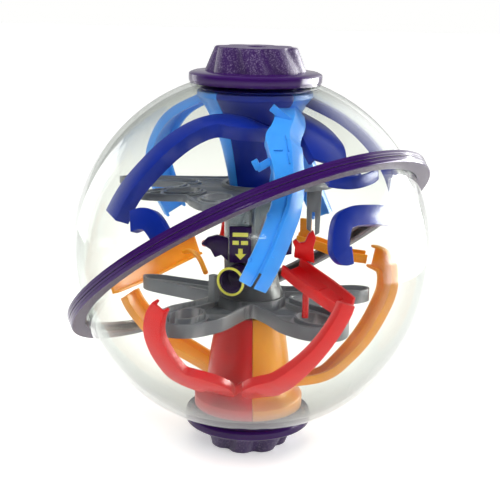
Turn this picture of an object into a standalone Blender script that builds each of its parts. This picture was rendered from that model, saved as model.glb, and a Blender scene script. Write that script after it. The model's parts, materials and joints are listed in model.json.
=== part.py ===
"""A clear ball with a maze inside, split by a tilted clamp ring and turned by a knob at each pole.

Metres, +Z up. The origin is the centre of the ball, Z runs through both knobs, and the front faces -Y.
A place on a track is given as (radius from Z, azimuth in degrees, height).
"""

import math

import bmesh
import bpy
import numpy as np
from mathutils import Matrix, Vector

# Casing
GAP = 0.0003
SHELL_R = 0.1000
SHELL_WALL = 0.0025
SHELL_ROWS = 7
POLE_HOLE_R = 0.0246
FLANGE_R = 0.1042
FLANGE_LOW = 0.00015
FLANGE_HIGH = 0.0016
RING_TILT = 36.5
RING_AZIMUTH = 135.0
RING_R = 0.1084
RING_HALF = 0.00355
RING_STEPS = 36
RING_SCREWS = 6
RING_SCREW_R = 0.1064

# Knobs
KNOB_FACE_Z = 0.1132
KNOB_FACE_R = 0.0226
KNOB_FILLET = 0.0006
KNOB_FOOT_Z = 0.1010
KNOB_FOOT_R = 0.0274
KNOB_RIM_R = 0.0362
KNOB_NECK_R = 0.0240
KNOB_NECK_Z = 0.0900
KNOB_HOLE_R = 0.0052
KNOB_HOLE_DEPTH = 0.005
KNOB_STEPS = 32
LOBES = 8
LOBE_DEPTH = 0.0026
LOBE_LEAN = 12.0

# Necks of the two turning mazes, as (radius, height) down the outside
COLLAR_TOP = KNOB_NECK_Z - GAP
COLLAR_BORE_R = KNOB_NECK_R + 0.0008
COLLAR_DOME_R = 0.0950
GLIDE_LOW_R = 0.0953
GLIDE_HIGH_R = 0.0961
GLIDE_BORE_R = 0.0262
GLIDE_RIM_R = 0.0300
UPPER_NECK = ((0.0315, 0.0870), (0.0255, 0.0780), (0.0180, 0.0600), (0.0112, 0.0300))
LOWER_NECK = ((0.0310, 0.0840), (0.0245, 0.0770), (0.0225, 0.0600), (0.0185, 0.0350))
NECK_WALL = 0.0020
NECK_STEPS = 24
PANEL_HALF_ANGLE = 40.0
RED_SEAM_AZIMUTH = -85.0
KNOB_SCREW_R = 0.0165
SCREW_R = 0.0013
SCREW_HEAD_R = 0.0025
SCREW_HEAD_H = 0.0016
SCREW_LENGTH = 0.0075

# Tracks
TRACK_WALL = 0.0015
TRACK_LIP = 0.0050
TRACK_STEPS = 2
ARCH_LIP = 0.0078
RAIL_LIP = 0.0052
CROWN = (
    (-0.0050, 0.0004), (0.0058, -0.0024), (0.0050, 0.0060), (0.0062, 0.0110), (0.0046, 0.0150),
    (0.0022, 0.0130),
    (0.0004, 0.0085), (-0.0022, 0.0080), (-0.0044, 0.0100), (-0.0060, 0.0085), (-0.0046, 0.0055),
)
CROWN_THICKNESS = 0.0035
CROWN_PLACE = (0.0275, -0.0345, 0.0062)
SCREW_STEPS = 8
BORE_TURN = 10.0

# Middle maze
AXLE_R = 0.0020
AXLE_TOP = 0.0420
AXLE_BOTTOM = -0.0450
NUT_R = 0.0040
NUT_H = 0.0030
DOME_R = 0.0155
DOME_WALL = 0.0015
DOME_TOP = 0.0350
HUB_TOP = 0.0
WHEEL_FLOOR = 0.0016
WHEEL_RIM = 0.0016
TIP_SLOT = (0.0180, 0.0034, 0.0200)
LOWER_WHEEL_LOW = -0.0320
LOWER_WHEEL_HIGH = -0.0245
UPPER_WHEEL_LOW = 0.0355
UPPER_WHEEL_HIGH = 0.0392
CUP_R = 0.0074
CUP_BORE_R = 0.0057
CUP_LENGTH = 0.0105
CUP_REACH = 0.0178
CUP_AZIMUTH = -112.0
CUP_HEIGHT = -0.0105
TARGET_RIM_R = 0.0080
TARGET_RIM_H = 0.0012

# Ball
BALL_R = 0.0047625
BALL_AZIMUTH = 92.0
BALL_LIFT = 0.0020
TROUGH_R = LOWER_NECK[0][0] + BALL_R + 2 * GAP

COLOURS = {
    "clear": ((0.93, 0.96, 0.98), 0.05, 0.15, 0.0),
    "purple": ((0.085, 0.022, 0.150), 0.40, 1.0, 0.0),
    "dark_blue": ((0.010, 0.020, 0.330), 0.30, 1.0, 0.0),
    "light_blue": ((0.050, 0.300, 0.900), 0.30, 1.0, 0.0),
    "grey": ((0.130, 0.140, 0.155), 0.45, 1.0, 0.0),
    "smoke": ((0.200, 0.210, 0.240), 0.10, 0.6, 0.0),
    "red": ((0.750, 0.020, 0.030), 0.30, 1.0, 0.0),
    "orange": ((0.950, 0.330, 0.020), 0.30, 1.0, 0.0),
    "yellow": ((0.850, 0.800, 0.120), 0.40, 1.0, 0.0),
    "steel": ((0.600, 0.610, 0.630), 0.25, 1.0, 1.0),
}

for leftover in list(bpy.data.objects):
    bpy.data.objects.remove(leftover, do_unlink=True)

PARTS = bpy.data.collections.new("maze_ball_puzzle")
CUTTERS = bpy.data.collections.new("cutters")
for group in (PARTS, CUTTERS):
    bpy.context.scene.collection.children.link(group)

RING_FRAME = (
    Matrix.Rotation(math.radians(RING_AZIMUTH), 4, "Z") @ Matrix.Rotation(math.radians(RING_TILT), 4, "Y")
)
MIRRORED = Matrix.Diagonal((1, 1, -1, 1))
BORE_TURNED = Matrix.Rotation(math.radians(BORE_TURN), 4, "Z")


def colour(name):
    """The material of one moulding colour."""
    material = bpy.data.materials.get(name)
    if material:
        return material
    tint, roughness, alpha, metallic = COLOURS[name]
    material = bpy.data.materials.new(name)
    material.use_nodes = True
    shader = material.node_tree.nodes["Principled BSDF"]
    shader.inputs["Base Color"].default_value = (*tint, 1.0)
    shader.inputs["Roughness"].default_value = roughness
    shader.inputs["Metallic"].default_value = metallic
    shader.inputs["Alpha"].default_value = alpha
    return material


def place(name, mesh, tint):
    """Links a mesh as a part, or as a cutter where it has no colour."""
    obj = bpy.data.objects.new(name, mesh)
    if tint:
        mesh.materials.append(colour(tint))
        PARTS.objects.link(obj)
    else:
        CUTTERS.objects.link(obj)
        obj.hide_render = True
        obj.display_type = "WIRE"
    return obj


def baked(obj):
    """Keeps what the modifiers have made as the object's own mesh."""
    bpy.context.view_layer.update()
    graph = bpy.context.evaluated_depsgraph_get()
    mesh = bpy.data.meshes.new_from_object(obj.evaluated_get(graph))
    obj.modifiers.clear()
    obj.data = mesh
    return obj


def smooth(obj):
    obj.data.shade_smooth()
    obj.data.set_sharp_from_angle(angle=math.radians(35))
    return obj


def boolean(obj, other, operation="DIFFERENCE"):
    step = obj.modifiers.new(operation.lower(), "BOOLEAN")
    step.operation = operation
    step.solver = "EXACT"
    step.object = other
    return obj


def turned(name, profile, tint=None, steps=RING_STEPS):
    """A profile of (radius, height), run down its outer side, turned about Z."""
    bm = bmesh.new()
    verts = [bm.verts.new((radius, 0, height)) for radius, height in profile]
    for first, second in zip(verts, verts[1:]):
        bm.edges.new((first, second))
    if profile[0][0] > 0:
        bm.edges.new((verts[-1], verts[0]))
    mesh = bpy.data.meshes.new(name)
    bm.to_mesh(mesh)
    bm.free()
    obj = place(name, mesh, tint)
    screw = obj.modifiers.new("turn", "SCREW")
    screw.steps = steps
    screw.render_steps = steps
    screw.use_merge_vertices = True
    screw.merge_threshold = 0.00001
    return smooth(baked(obj))


def transformed(obj, matrix):
    """Moves the mesh itself, and turns its faces back out after a mirroring."""
    obj.data.transform(matrix)
    if matrix.determinant() < 0:
        obj.data.flip_normals()
    return obj


def spot(radius, azimuth, height):
    angle = math.radians(azimuth)
    return Vector((radius * math.cos(angle), radius * math.sin(angle), height))


def arc(radius, start, end, count):
    """(radius, height) points on a circle about the origin, with angles from the equator in degrees."""
    angles = [math.radians(start + (end - start) * i / count) for i in range(count + 1)]
    return [(radius * math.cos(a), radius * math.sin(a)) for a in angles]


def catmull_rom(points, steps, closed=False):
    """Smooth points through the given ones, as rows of an array."""
    points = np.array(points, float)
    count = len(points)
    if closed:
        padded = np.vstack([points[-1], points, points[0], points[1]])
        spans = count
    else:
        padded = np.vstack([2 * points[0] - points[1], points, 2 * points[-1] - points[-2]])
        spans = count - 1
    rows = []
    for span in range(spans):
        a, b, c, d = padded[span : span + 4]
        for step in range(steps):
            t = step / steps
            rows.append(
                0.5
                * (
                    2 * b
                    + (c - a) * t
                    + (2 * a - 5 * b + 4 * c - d) * t**2
                    + (3 * b - a - 3 * c + d) * t**3
                )
            )
    if not closed:
        rows.append(points[-1])
    return np.array(rows)


def u_section(width, lip, inward, flare):
    """The outline of a U-shaped track as (across, up), round its walls and back along their inside."""
    half = width / 2 + TRACK_WALL
    if inward:
        outer, inner, edge = lip, lip - TRACK_WALL, 0.0
    else:
        outer, inner, edge = -TRACK_WALL, 0.0, lip
    left = -half - flare[0] * lip
    right = half + flare[1] * lip
    return (
        (left, edge),
        (-half, outer),
        (half, outer),
        (right, edge),
        (right - TRACK_WALL, edge),
        (half - TRACK_WALL, inner),
        (TRACK_WALL - half, inner),
        (left + TRACK_WALL, edge),
    )


def channel(name, stations, tint, lean=0.0, lip=TRACK_LIP, flare=(0.0, 0.0), steps=TRACK_STEPS):
    """A U-shaped track over stations of (radius, azimuth, height, width).

    Its open side faces the middle of the ball, or upwards and outwards where lean is more than a half.
    Flare leans the left and the right wall outwards, as a share of their height.
    """
    rows = catmull_rom([(*spot(r, a, z), width) for r, a, z, width in stations], steps)
    centres = [Vector(row[:3]) for row in rows]
    last = len(centres) - 1
    bm = bmesh.new()
    sections = []
    for i, centre in enumerate(centres):
        along = (centres[min(i + 1, last)] - centres[max(i - 1, 0)]).normalized()
        opening = centre.normalized().lerp(Vector((0, 0, 1)), lean)
        side = along.cross(opening).normalized()
        lift = side.cross(along).normalized()
        section = u_section(rows[i][3], lip, lean < 0.5, flare)
        sections.append([bm.verts.new(centre + side * across + lift * up) for across, up in section])
    count = len(sections[0])
    for first, second in zip(sections, sections[1:]):
        for k in range(count):
            bm.faces.new((first[k], first[(k + 1) % count], second[(k + 1) % count], second[k]))
    for end in (sections[0], sections[-1]):
        for k in range(count // 2 - 1):
            bm.faces.new((end[k], end[k + 1], end[count - 2 - k], end[count - 1 - k]))
    bmesh.ops.recalc_face_normals(bm, faces=bm.faces)
    mesh = bpy.data.meshes.new(name)
    bm.to_mesh(mesh)
    bm.free()
    return place(name, mesh, tint)


def outline_solid(name, loops, low, high, tint=None):
    """Flat closed loops of (x, y) filled between two heights; a loop inside another is a hole."""
    curve = bpy.data.curves.new(name, "CURVE")
    curve.dimensions = "2D"
    curve.fill_mode = "BOTH"
    curve.extrude = (high - low) / 2
    for loop in loops:
        spline = curve.splines.new("POLY")
        spline.points.add(len(loop) - 1)
        for point, (x, y) in zip(spline.points, loop):
            point.co = (x, y, 0, 1)
        spline.use_cyclic_u = True
    guide = bpy.data.objects.new(name + "_guide", curve)
    CUTTERS.objects.link(guide)
    bpy.context.view_layer.update()
    graph = bpy.context.evaluated_depsgraph_get()
    mesh = bpy.data.meshes.new_from_object(guide.evaluated_get(graph))
    bpy.data.objects.remove(guide)
    mesh.transform(Matrix.Translation((0, 0, (low + high) / 2)))
    bm = bmesh.new()
    bm.from_mesh(mesh)
    bmesh.ops.remove_doubles(bm, verts=bm.verts, dist=0.000001)
    bmesh.ops.recalc_face_normals(bm, faces=bm.faces)
    bm.to_mesh(mesh)
    bm.free()
    mesh.materials.clear()
    return place(name, mesh, tint)


def rod(name, stations, radius, tint, steps=TRACK_STEPS):
    """A round wire over stations of (radius, azimuth, height)."""
    curve = bpy.data.curves.new(name, "CURVE")
    curve.dimensions = "3D"
    curve.bevel_depth = radius
    curve.bevel_resolution = 2
    curve.use_fill_caps = True
    rows = catmull_rom([spot(*station) for station in stations], steps)
    spline = curve.splines.new("POLY")
    spline.points.add(len(rows) - 1)
    for point, row in zip(spline.points, rows):
        point.co = (*row, 1)
    obj = bpy.data.objects.new(name, curve)
    curve.materials.append(colour(tint))
    PARTS.objects.link(obj)
    return obj


def block(name, size, centre, azimuth=0.0, tint=None):
    """A box turned about Z by the azimuth and set with its middle at the centre."""
    mesh = bpy.data.meshes.new(name)
    bm = bmesh.new()
    bmesh.ops.create_cube(bm, size=1.0)
    bm.to_mesh(mesh)
    bm.free()
    mesh.transform(Matrix.Diagonal((*size, 1)))
    mesh.transform(Matrix.Translation(centre) @ Matrix.Rotation(math.radians(azimuth), 4, "Z"))
    return place(name, mesh, tint)


def screw_solid(name, tint="steel", length=SCREW_LENGTH, radius=SCREW_R, head_r=SCREW_HEAD_R):
    """A pan-head screw whose head rests at the origin and whose shank points up Z."""
    profile = (
        (0, length),
        (radius * 0.7, length),
        (radius, length - radius),
        (radius, 0),
        (head_r, 0),
        (head_r * 0.85, -SCREW_HEAD_H),
        (0, -SCREW_HEAD_H),
    )
    return turned(name, profile, tint, steps=SCREW_STEPS)


# ---------------------------------------------------------------- casing


def shell_half(name, side):
    """A clear hemisphere with a flange at the clamp ring and a round hole at the pole of Z."""
    inner = SHELL_R - SHELL_WALL
    start = math.degrees(math.asin(FLANGE_HIGH / SHELL_R))
    outside = arc(SHELL_R, 90, start, SHELL_ROWS)
    inside = arc(inner, math.degrees(math.asin(FLANGE_LOW / inner)), 90, SHELL_ROWS)
    profile = outside + [(FLANGE_R, FLANGE_HIGH), (FLANGE_R, FLANGE_LOW)] + inside
    profile[0] = (0, SHELL_R)
    profile[-1] = (0, inner)
    half = turned(name, profile, "clear")
    if side < 0:
        transformed(half, MIRRORED)
    transformed(half, RING_FRAME)
    hole = turned(name + "_pole", ((0, 0.11), (POLE_HOLE_R, 0.11), (POLE_HOLE_R, 0.06), (0, 0.06)))
    if side < 0:
        transformed(hole, MIRRORED)
    return smooth(baked(boolean(half, hole)))


def ring_half(name, side, screw_places):
    """Half of the clamp ring: an outer wall and a lip that closes over the shell's flange."""
    chamfer = 0.0005
    lip_low = FLANGE_HIGH + GAP
    wall_in = FLANGE_R + 2 * GAP
    lip_in = SHELL_R + 2 * GAP
    profile = (
        (lip_in, RING_HALF),
        (RING_R - chamfer, RING_HALF),
        (RING_R, RING_HALF - chamfer),
        (RING_R, FLANGE_LOW),
        (wall_in, FLANGE_LOW),
        (wall_in, lip_low),
        (lip_in, lip_low),
    )
    half = turned(name, profile, "purple")
    if side < 0:
        transformed(half, MIRRORED)
    bore_r = 0.0012
    sink_r = 0.0019
    for i, angle in enumerate(screw_places):
        if side < 0:
            sink_z = -RING_HALF + 0.0014
            steps = (
                (0, 0.002),
                (bore_r, 0.002),
                (bore_r, sink_z),
                (sink_r, sink_z),
                (sink_r, -0.006),
                (0, -0.006),
            )
        else:
            steps = ((0, 0.0028), (bore_r, 0.0028), (bore_r, -0.002), (0, -0.002))
        bore = turned(f"{name}_bore_{i + 1}", steps, steps=SCREW_STEPS)
        transformed(bore, Matrix.Translation(spot(RING_SCREW_R, angle, 0)) @ BORE_TURNED)
        half = baked(boolean(half, bore))
    return smooth(transformed(half, RING_FRAME))


def casing():
    places = [360 / RING_SCREWS * (i + 0.5) for i in range(RING_SCREWS)]
    shell_half("upper_shell", 1)
    shell_half("lower_shell", -1)
    ring_half("upper_ring", 1, places)
    ring_half("lower_ring", -1, places)
    seat = -RING_HALF + 0.0014 - GAP
    for i, angle in enumerate(places):
        screw = screw_solid(f"ring_screw_{i + 1}", length=0.0046, radius=0.0009, head_r=0.0015)
        flat = Matrix.Diagonal((1, 1, 1, 1))
        flat.translation = spot(RING_SCREW_R, angle, seat)
        for vert in screw.data.vertices:
            if vert.co.z < 0:
                vert.co.z = -0.0010
        transformed(screw, RING_FRAME @ flat)


# ---------------------------------------------------------------- knobs and necks


def knob(name, side):
    """A fluted grip on a round flange, with a neck that passes through the shell."""
    under = SHELL_R + 2 * GAP
    rim_low = math.degrees(math.acos((KNOB_RIM_R - 0.0006) / under))
    neck_high = math.degrees(math.acos(KNOB_NECK_R / under))
    grip = [(KNOB_FACE_R, KNOB_FACE_Z - KNOB_FILLET)]
    for i in range(1, 4):
        t = i / 3
        radius = KNOB_FACE_R + (KNOB_FOOT_R - KNOB_FACE_R) * t
        grip.append((radius, KNOB_FACE_Z - KNOB_FILLET + (KNOB_FOOT_Z - KNOB_FACE_Z) * t))
    profile = [
        (0, KNOB_FACE_Z - KNOB_HOLE_DEPTH),
        (KNOB_HOLE_R, KNOB_FACE_Z - KNOB_HOLE_DEPTH),
        (KNOB_HOLE_R, KNOB_FACE_Z),
        (KNOB_FACE_R - 0.0008, KNOB_FACE_Z),
        *grip,
        (0.0340, 0.1000),
        (0.0356, 0.0993),
        (KNOB_RIM_R, 0.0978),
        (KNOB_RIM_R, 0.0950),
        *arc(under, rim_low, neck_high, 2),
        (KNOB_NECK_R, KNOB_NECK_Z),
        (0, KNOB_NECK_Z),
    ]
    body = turned(name, profile, "purple", steps=KNOB_STEPS)
    for vert in body.data.vertices:
        radius = math.hypot(vert.co.x, vert.co.y)
        if vert.co.z < KNOB_FOOT_Z - 0.0007 or radius < KNOB_FACE_R - 0.001:
            continue
        height = (vert.co.z - KNOB_FOOT_Z) / (KNOB_FACE_Z - KNOB_FOOT_Z)
        angle = math.atan2(vert.co.y, vert.co.x) + math.radians(LOBE_LEAN) * height
        valley = (0.5 - 0.5 * math.cos(LOBES * angle)) ** 2
        scale = 1 - LOBE_DEPTH * valley / radius
        vert.co.x *= scale
        vert.co.y *= scale
    if side < 0:
        transformed(body, MIRRORED)
    return smooth(body)


def neck_solid(name, steps_down, tint, grow=0.0):
    """A neck as a full turned shell, or as a solid that clears it where grow is set."""
    outer = [(r + grow, z) for r, z in steps_down]
    top = COLLAR_TOP + (0.02 if grow else 0)
    bottom = outer[-1][1]
    if grow:
        profile = [(0, top), (outer[0][0], top), *outer, (0, bottom)]
        return turned(name, profile, None, steps=NECK_STEPS)
    inner = [(r - NECK_WALL, z) for r, z in steps_down]
    floor = bottom + NECK_WALL
    roof = COLLAR_TOP - NECK_WALL
    bore = AXLE_R + 2 * GAP
    dome_angles = [math.degrees(math.acos(radius / COLLAR_DOME_R)) for radius in (COLLAR_BORE_R, outer[0][0])]
    profile = [
        (0.0060, top),
        (COLLAR_BORE_R, top),
        *arc(COLLAR_DOME_R, *dome_angles, 2),
        *outer,
        (bore, bottom),
        (bore, floor),
        (inner[-1][0], floor),
        *reversed(inner[1:-1]),
        (inner[0][0] - 0.001, roof),
        (0.0060, roof),
    ]
    return turned(name, profile, tint, steps=NECK_STEPS)


def wedge(name, start, end):
    """A sector between two azimuths, as a cutter that stays half a gap inside both of them."""
    reach = 0.08
    count = 6
    half = math.radians(end - start) / 2
    apex = spot(GAP / 2 / math.sin(half), (start + end) / 2, 0)
    angles = [start + (end - start) * i / count for i in range(count + 1)]
    loop = [apex] + [apex + spot(reach, angle, 0) for angle in angles]
    return outline_solid(name, [[point[:2] for point in loop]], -0.12, 0.12)


def neck_pair(side, steps_down, names, tints, sector, screw_azimuths):
    """The two mouldings of one neck, its knob screws and its glide ring."""
    prefix = "upper" if side > 0 else "lower"
    inside = wedge(prefix + "_sector", *sector)
    outside = wedge(prefix + "_other_sector", sector[1], sector[0] + 360)
    for name, tint, cutter in zip(names, tints, (inside, outside)):
        body = neck_solid(name, steps_down, tint)
        if side < 0:
            transformed(body, MIRRORED)
        body = baked(boolean(body, cutter, "INTERSECT"))
        for i, azimuth in enumerate(screw_azimuths):
            body = baked(boolean(body, screw_bore(f"{name}_bore_{i + 1}", azimuth, side)))
        smooth(body)
    for i, azimuth in enumerate(screw_azimuths):
        screw = screw_solid(f"{prefix}_knob_screw_{i + 1}")
        transformed(screw, Matrix.Translation(spot(KNOB_SCREW_R, azimuth, COLLAR_TOP - NECK_WALL - GAP)))
        if side < 0:
            transformed(screw, MIRRORED)
    corners = (
        (GLIDE_BORE_R, GLIDE_HIGH_R),
        (GLIDE_RIM_R, GLIDE_HIGH_R),
        (GLIDE_RIM_R, GLIDE_LOW_R),
        (GLIDE_BORE_R, GLIDE_LOW_R),
    )
    washer = [(radius, math.sqrt(dome**2 - radius**2)) for radius, dome in corners]
    ring = turned(prefix + "_glide_ring", washer, "dark_blue" if side > 0 else "purple", steps=NECK_STEPS)
    if side < 0:
        transformed(ring, MIRRORED)


def screw_bore(name, azimuth, side):
    radius = SCREW_R + GAP
    bore = turned(name, ((0, 0.0985), (radius, 0.0985), (radius, 0.085), (0, 0.085)), steps=SCREW_STEPS)
    transformed(bore, Matrix.Translation(spot(KNOB_SCREW_R, azimuth, 0)) @ BORE_TURNED)
    if side < 0:
        transformed(bore, MIRRORED)
    return bore


def knobs_and_necks():
    front = -90.0
    upper_screws = (front, front + 180)
    lower_screws = (RED_SEAM_AZIMUTH - 90, RED_SEAM_AZIMUTH + 90)
    neck_pair(
        1,
        UPPER_NECK,
        ("dark_blue_neck", "light_blue_neck"),
        ("dark_blue", "light_blue"),
        (front - PANEL_HALF_ANGLE, front + PANEL_HALF_ANGLE),
        upper_screws,
    )
    neck_pair(
        -1,
        LOWER_NECK,
        ("orange_neck", "red_neck"),
        ("orange", "red"),
        (RED_SEAM_AZIMUTH, RED_SEAM_AZIMUTH + 180),
        lower_screws,
    )
    for name, side, azimuths in (("top_knob", 1, upper_screws), ("bottom_knob", -1, lower_screws)):
        body = knob(name, side)
        for i, azimuth in enumerate(azimuths):
            body = baked(boolean(body, screw_bore(f"{name}_bore_{i + 1}", azimuth, side)))
        smooth(body)


# ---------------------------------------------------------------- tracks


def fitted(name, stations, tint, clearance, **shape):
    """A track whose inner end stops just short of the neck that it grows from."""
    track = channel(name, stations, tint, **shape)
    return baked(boolean(track, clearance))


def upper_tracks():
    clear = neck_solid("upper_clearance", UPPER_NECK, None, grow=GAP)
    fitted(
        "arch_track",
        (
            (0.010, -60, 0.0610, 0.0080),
            (0.022, -76, 0.0655, 0.0080),
            (0.0335, -98, 0.0696, 0.0080),
            (0.0385, -118, 0.0712, 0.0080),
            (0.0494, -127, 0.0680, 0.0080),
            (0.0627, -132.5, 0.0594, 0.0080),
            (0.0744, -138, 0.0458, 0.0080),
            (0.0796, -140.4, 0.0370, 0.0082),
            (0.0830, -142.4, 0.0280, 0.0092),
        ),
        "dark_blue",
        clear,
        lip=ARCH_LIP,
    )
    channel(
        "arch_branch",
        (
            (0.0846, -133, 0.0285, 0.0080),
            (0.0838, -129, 0.0308, 0.0080),
            (0.0838, -125, 0.0305, 0.0080),
            (0.0852, -121, 0.0262, 0.0076),
            (0.0868, -117.5, 0.0200, 0.0068),
        ),
        "dark_blue",
    )
    fitted(
        "beam_track",
        (
            (0.024, -4, 0.0845, 0.010),
            (0.047, -8, 0.0735, 0.0055),
            (0.063, -15, 0.0620, 0.0045),
            (0.0755, -21, 0.0485, 0.0070),
            (0.0820, -24, 0.0365, 0.0120),
            (0.0848, -25, 0.0285, 0.0130),
        ),
        "dark_blue",
        clear,
    )
    fitted(
        "fan_panel",
        (
            (0.017, -20, 0.0765, 0.013),
            (0.0317, -26, 0.0700, 0.018),
            (0.0408, -36, 0.0645, 0.024),
            (0.0475, -42, 0.0593, 0.022),
            (0.0527, -46, 0.0541, 0.017),
        ),
        "dark_blue",
        clear,
    )
    channel(
        "bowl_track",
        (
            (0.0645, -55, 0.0500, 0.011),
            (0.0695, -48, 0.0490, 0.012),
            (0.0710, -40, 0.0500, 0.011),
            (0.0710, -33, 0.0515, 0.009),
        ),
        "dark_blue",
        lean=1.0,
    )
    channel(
        "hook_track",
        (
            (0.0834, -32.5, 0.0310, 0.0073),
            (0.0822, -45, 0.0338, 0.0070),
            (0.0818, -53.5, 0.0348, 0.0070),
            (0.0824, -58.0, 0.0334, 0.0070),
            (0.0838, -60.0, 0.0300, 0.0068),
            (0.0855, -61.2, 0.0248, 0.0067),
            (0.0866, -61.4, 0.0204, 0.0067),
            (0.0872, -60.0, 0.0176, 0.0063),
            (0.0871, -57.4, 0.0176, 0.0056),
        ),
        "dark_blue",
        steps=4,
    )
    fitted(
        "front_rail",
        (
            (0.022, -48, 0.0800, 0.0075),
            (0.0340, -64, 0.0765, 0.0070),
            (0.0451, -73.8, 0.0718, 0.0066),
            (0.0535, -78.0, 0.0684, 0.0090),
            (0.0601, -78.4, 0.0647, 0.0086),
            (0.0718, -78.7, 0.0523, 0.0060),
            (0.0784, -80.5, 0.0420, 0.0056),
            (0.0816, -82.6, 0.0349, 0.0056),
            (0.0854, -85.7, 0.0243, 0.0055),
            (0.0878, -89.1, 0.0133, 0.0054),
            (0.0886, -91.4, 0.0064, 0.0048),
        ),
        "light_blue",
        clear,
        lip=RAIL_LIP,
        flare=(1.3, 0.0),
    )
    fitted(
        "side_rail",
        (
            (0.022, 158, 0.0850, 0.013),
            (0.048, 148, 0.0730, 0.013),
            (0.067, 140, 0.0580, 0.013),
            (0.0810, 134, 0.0400, 0.013),
            (0.0875, 127, 0.0210, 0.013),
            (0.0895, 122, 0.0060, 0.011),
        ),
        "light_blue",
        clear,
    )
    fitted(
        "back_rail",
        (
            (0.022, 76, 0.0850, 0.013),
            (0.048, 73, 0.0730, 0.013),
            (0.067, 71, 0.0580, 0.013),
            (0.0815, 69, 0.0390, 0.012),
            (0.0875, 66, 0.0210, 0.011),
            (0.0895, 61, 0.0040, 0.010),
        ),
        "light_blue",
        clear,
    )


def lower_tracks():
    clear = transformed(neck_solid("lower_clearance", LOWER_NECK, None, grow=GAP), MIRRORED)
    fitted(
        "red_left_arm",
        (
            (0.018, -116, -0.0700, 0.0110),
            (0.0420, -110, -0.0650, 0.0125),
            (0.0616, -105.8, -0.0556, 0.0137),
            (0.0726, -117.2, -0.0480, 0.0099),
            (0.0781, -120.2, -0.0409, 0.0093),
            (0.0828, -122.0, -0.0320, 0.0087),
            (0.0859, -122.6, -0.0233, 0.0075),
            (0.0878, -121.1, -0.0145, 0.0064),
            (0.0886, -118.8, -0.0085, 0.0052),
        ),
        "red",
        clear,
    )
    fitted(
        "red_right_arm",
        (
            (0.018, -70, -0.0700, 0.0115),
            (0.0420, -78, -0.0655, 0.0125),
            (0.0614, -85.5, -0.0559, 0.0137),
            (0.0698, -77.4, -0.0494, 0.0110),
            (0.0787, -71.0, -0.0383, 0.0076),
            (0.0837, -66.3, -0.0283, 0.0060),
            (0.0868, -62.7, -0.0187, 0.0054),
            (0.0884, -60.0, -0.0104, 0.0054),
            (0.0888, -58.9, -0.0057, 0.0050),
        ),
        "red",
        clear,
    )
    channel(
        "red_ramp",
        (
            (0.0834, -55.5, -0.0118, 0.0105),
            (0.0780, -56, -0.0100, 0.0115),
            (0.0680, -57.5, -0.0065, 0.0120),
            (0.0570, -60, -0.0028, 0.0120),
            (0.0460, -63, 0.0010, 0.0110),
        ),
        "red",
        lean=0.55,
    )
    rod("red_post", ((0.0575, -60, -0.0068), (0.0575, -60, -0.0225)), 0.0017, "red", steps=1)
    crown = standing(outline_solid("red_crown", [CROWN], 0, CROWN_THICKNESS, "red"), 0.0)
    transformed(crown, Matrix.Translation(CROWN_PLACE))
    rod(
        "red_prong",
        ((0.0835, 111, -0.0150), (0.070, 110, -0.0120), (0.055, 109, -0.0040), (0.050, 108.5, 0.0080)),
        0.0022,
        "red",
    )
    fitted(
        "orange_arc",
        (
            (0.018, -16, -0.0720, 0.014),
            (0.041, 2, -0.0705, 0.013),
            (0.055, 12, -0.0640, 0.013),
            (0.068, 16, -0.0525, 0.014),
            (0.0785, 19, -0.0390, 0.014),
            (0.0840, 20, -0.0260, 0.014),
            (0.0862, 25, -0.0150, 0.012),
            (0.0862, 34, -0.0130, 0.011),
        ),
        "orange",
        clear,
        steps=4,
    )
    channel(
        "orange_crook",
        (
            (0.0838, 34, -0.0150, 0.009),
            (0.0730, 40, -0.0130, 0.009),
            (0.0640, 50, -0.0080, 0.009),
            (0.0580, 62, -0.0050, 0.008),
        ),
        "orange",
        lean=1.0,
        lip=0.004,
    )
    block("orange_prong", (0.0025, 0.0070, 0.0128), spot(0.0600, 57, 0.0021), 57, "orange")
    fitted(
        "orange_left_arm",
        (
            (0.018, 138, -0.0740, 0.013),
            (0.044, 139, -0.0690, 0.012),
            (0.062, 148, -0.0590, 0.012),
            (0.0745, 152, -0.0450, 0.012),
            (0.0798, 153, -0.0360, 0.012),
        ),
        "orange",
        clear,
    )
    channel(
        "orange_left_band",
        (
            (0.0838, 162, -0.0265, 0.012),
            (0.0840, 150, -0.0265, 0.013),
            (0.0845, 136, -0.0240, 0.014),
            (0.0850, 123, -0.0190, 0.014),
            (0.0855, 113, -0.0150, 0.012),
        ),
        "orange",
    )
    rod(
        "orange_hoop",
        ((0.0828, 121, -0.0190), (0.070, 122, -0.0160), (0.055, 125, -0.0165), (0.043, 129, -0.0222)),
        0.0016,
        "orange",
    )


# ---------------------------------------------------------------- middle maze


def loop_of(points):
    """A smooth closed loop of (x, y) through points of (radius, azimuth)."""
    flat = [tuple(spot(radius, azimuth, 0))[:2] for radius, azimuth in points]
    return catmull_rom(flat, TRACK_STEPS, closed=True)


def oval(radius, azimuth, along, across, count=12):
    """An ellipse with its middle at (radius, azimuth) and its first half-axis along that radius."""
    turn = Matrix.Rotation(math.radians(azimuth), 2)
    middle = Vector(tuple(spot(radius, azimuth, 0))[:2])
    angles = [2 * math.pi * i / count for i in range(count)]
    return np.array([middle + turn @ Vector((along * math.cos(a), across * math.sin(a))) for a in angles])


def inset(loop, distance):
    """The loop moved inwards along its own normals; it runs anticlockwise."""
    along = np.roll(loop, -1, axis=0) - np.roll(loop, 1, axis=0)
    along /= np.linalg.norm(along, axis=1)[:, None]
    return loop + distance * np.stack([-along[:, 1], along[:, 0]], axis=1)


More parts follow.
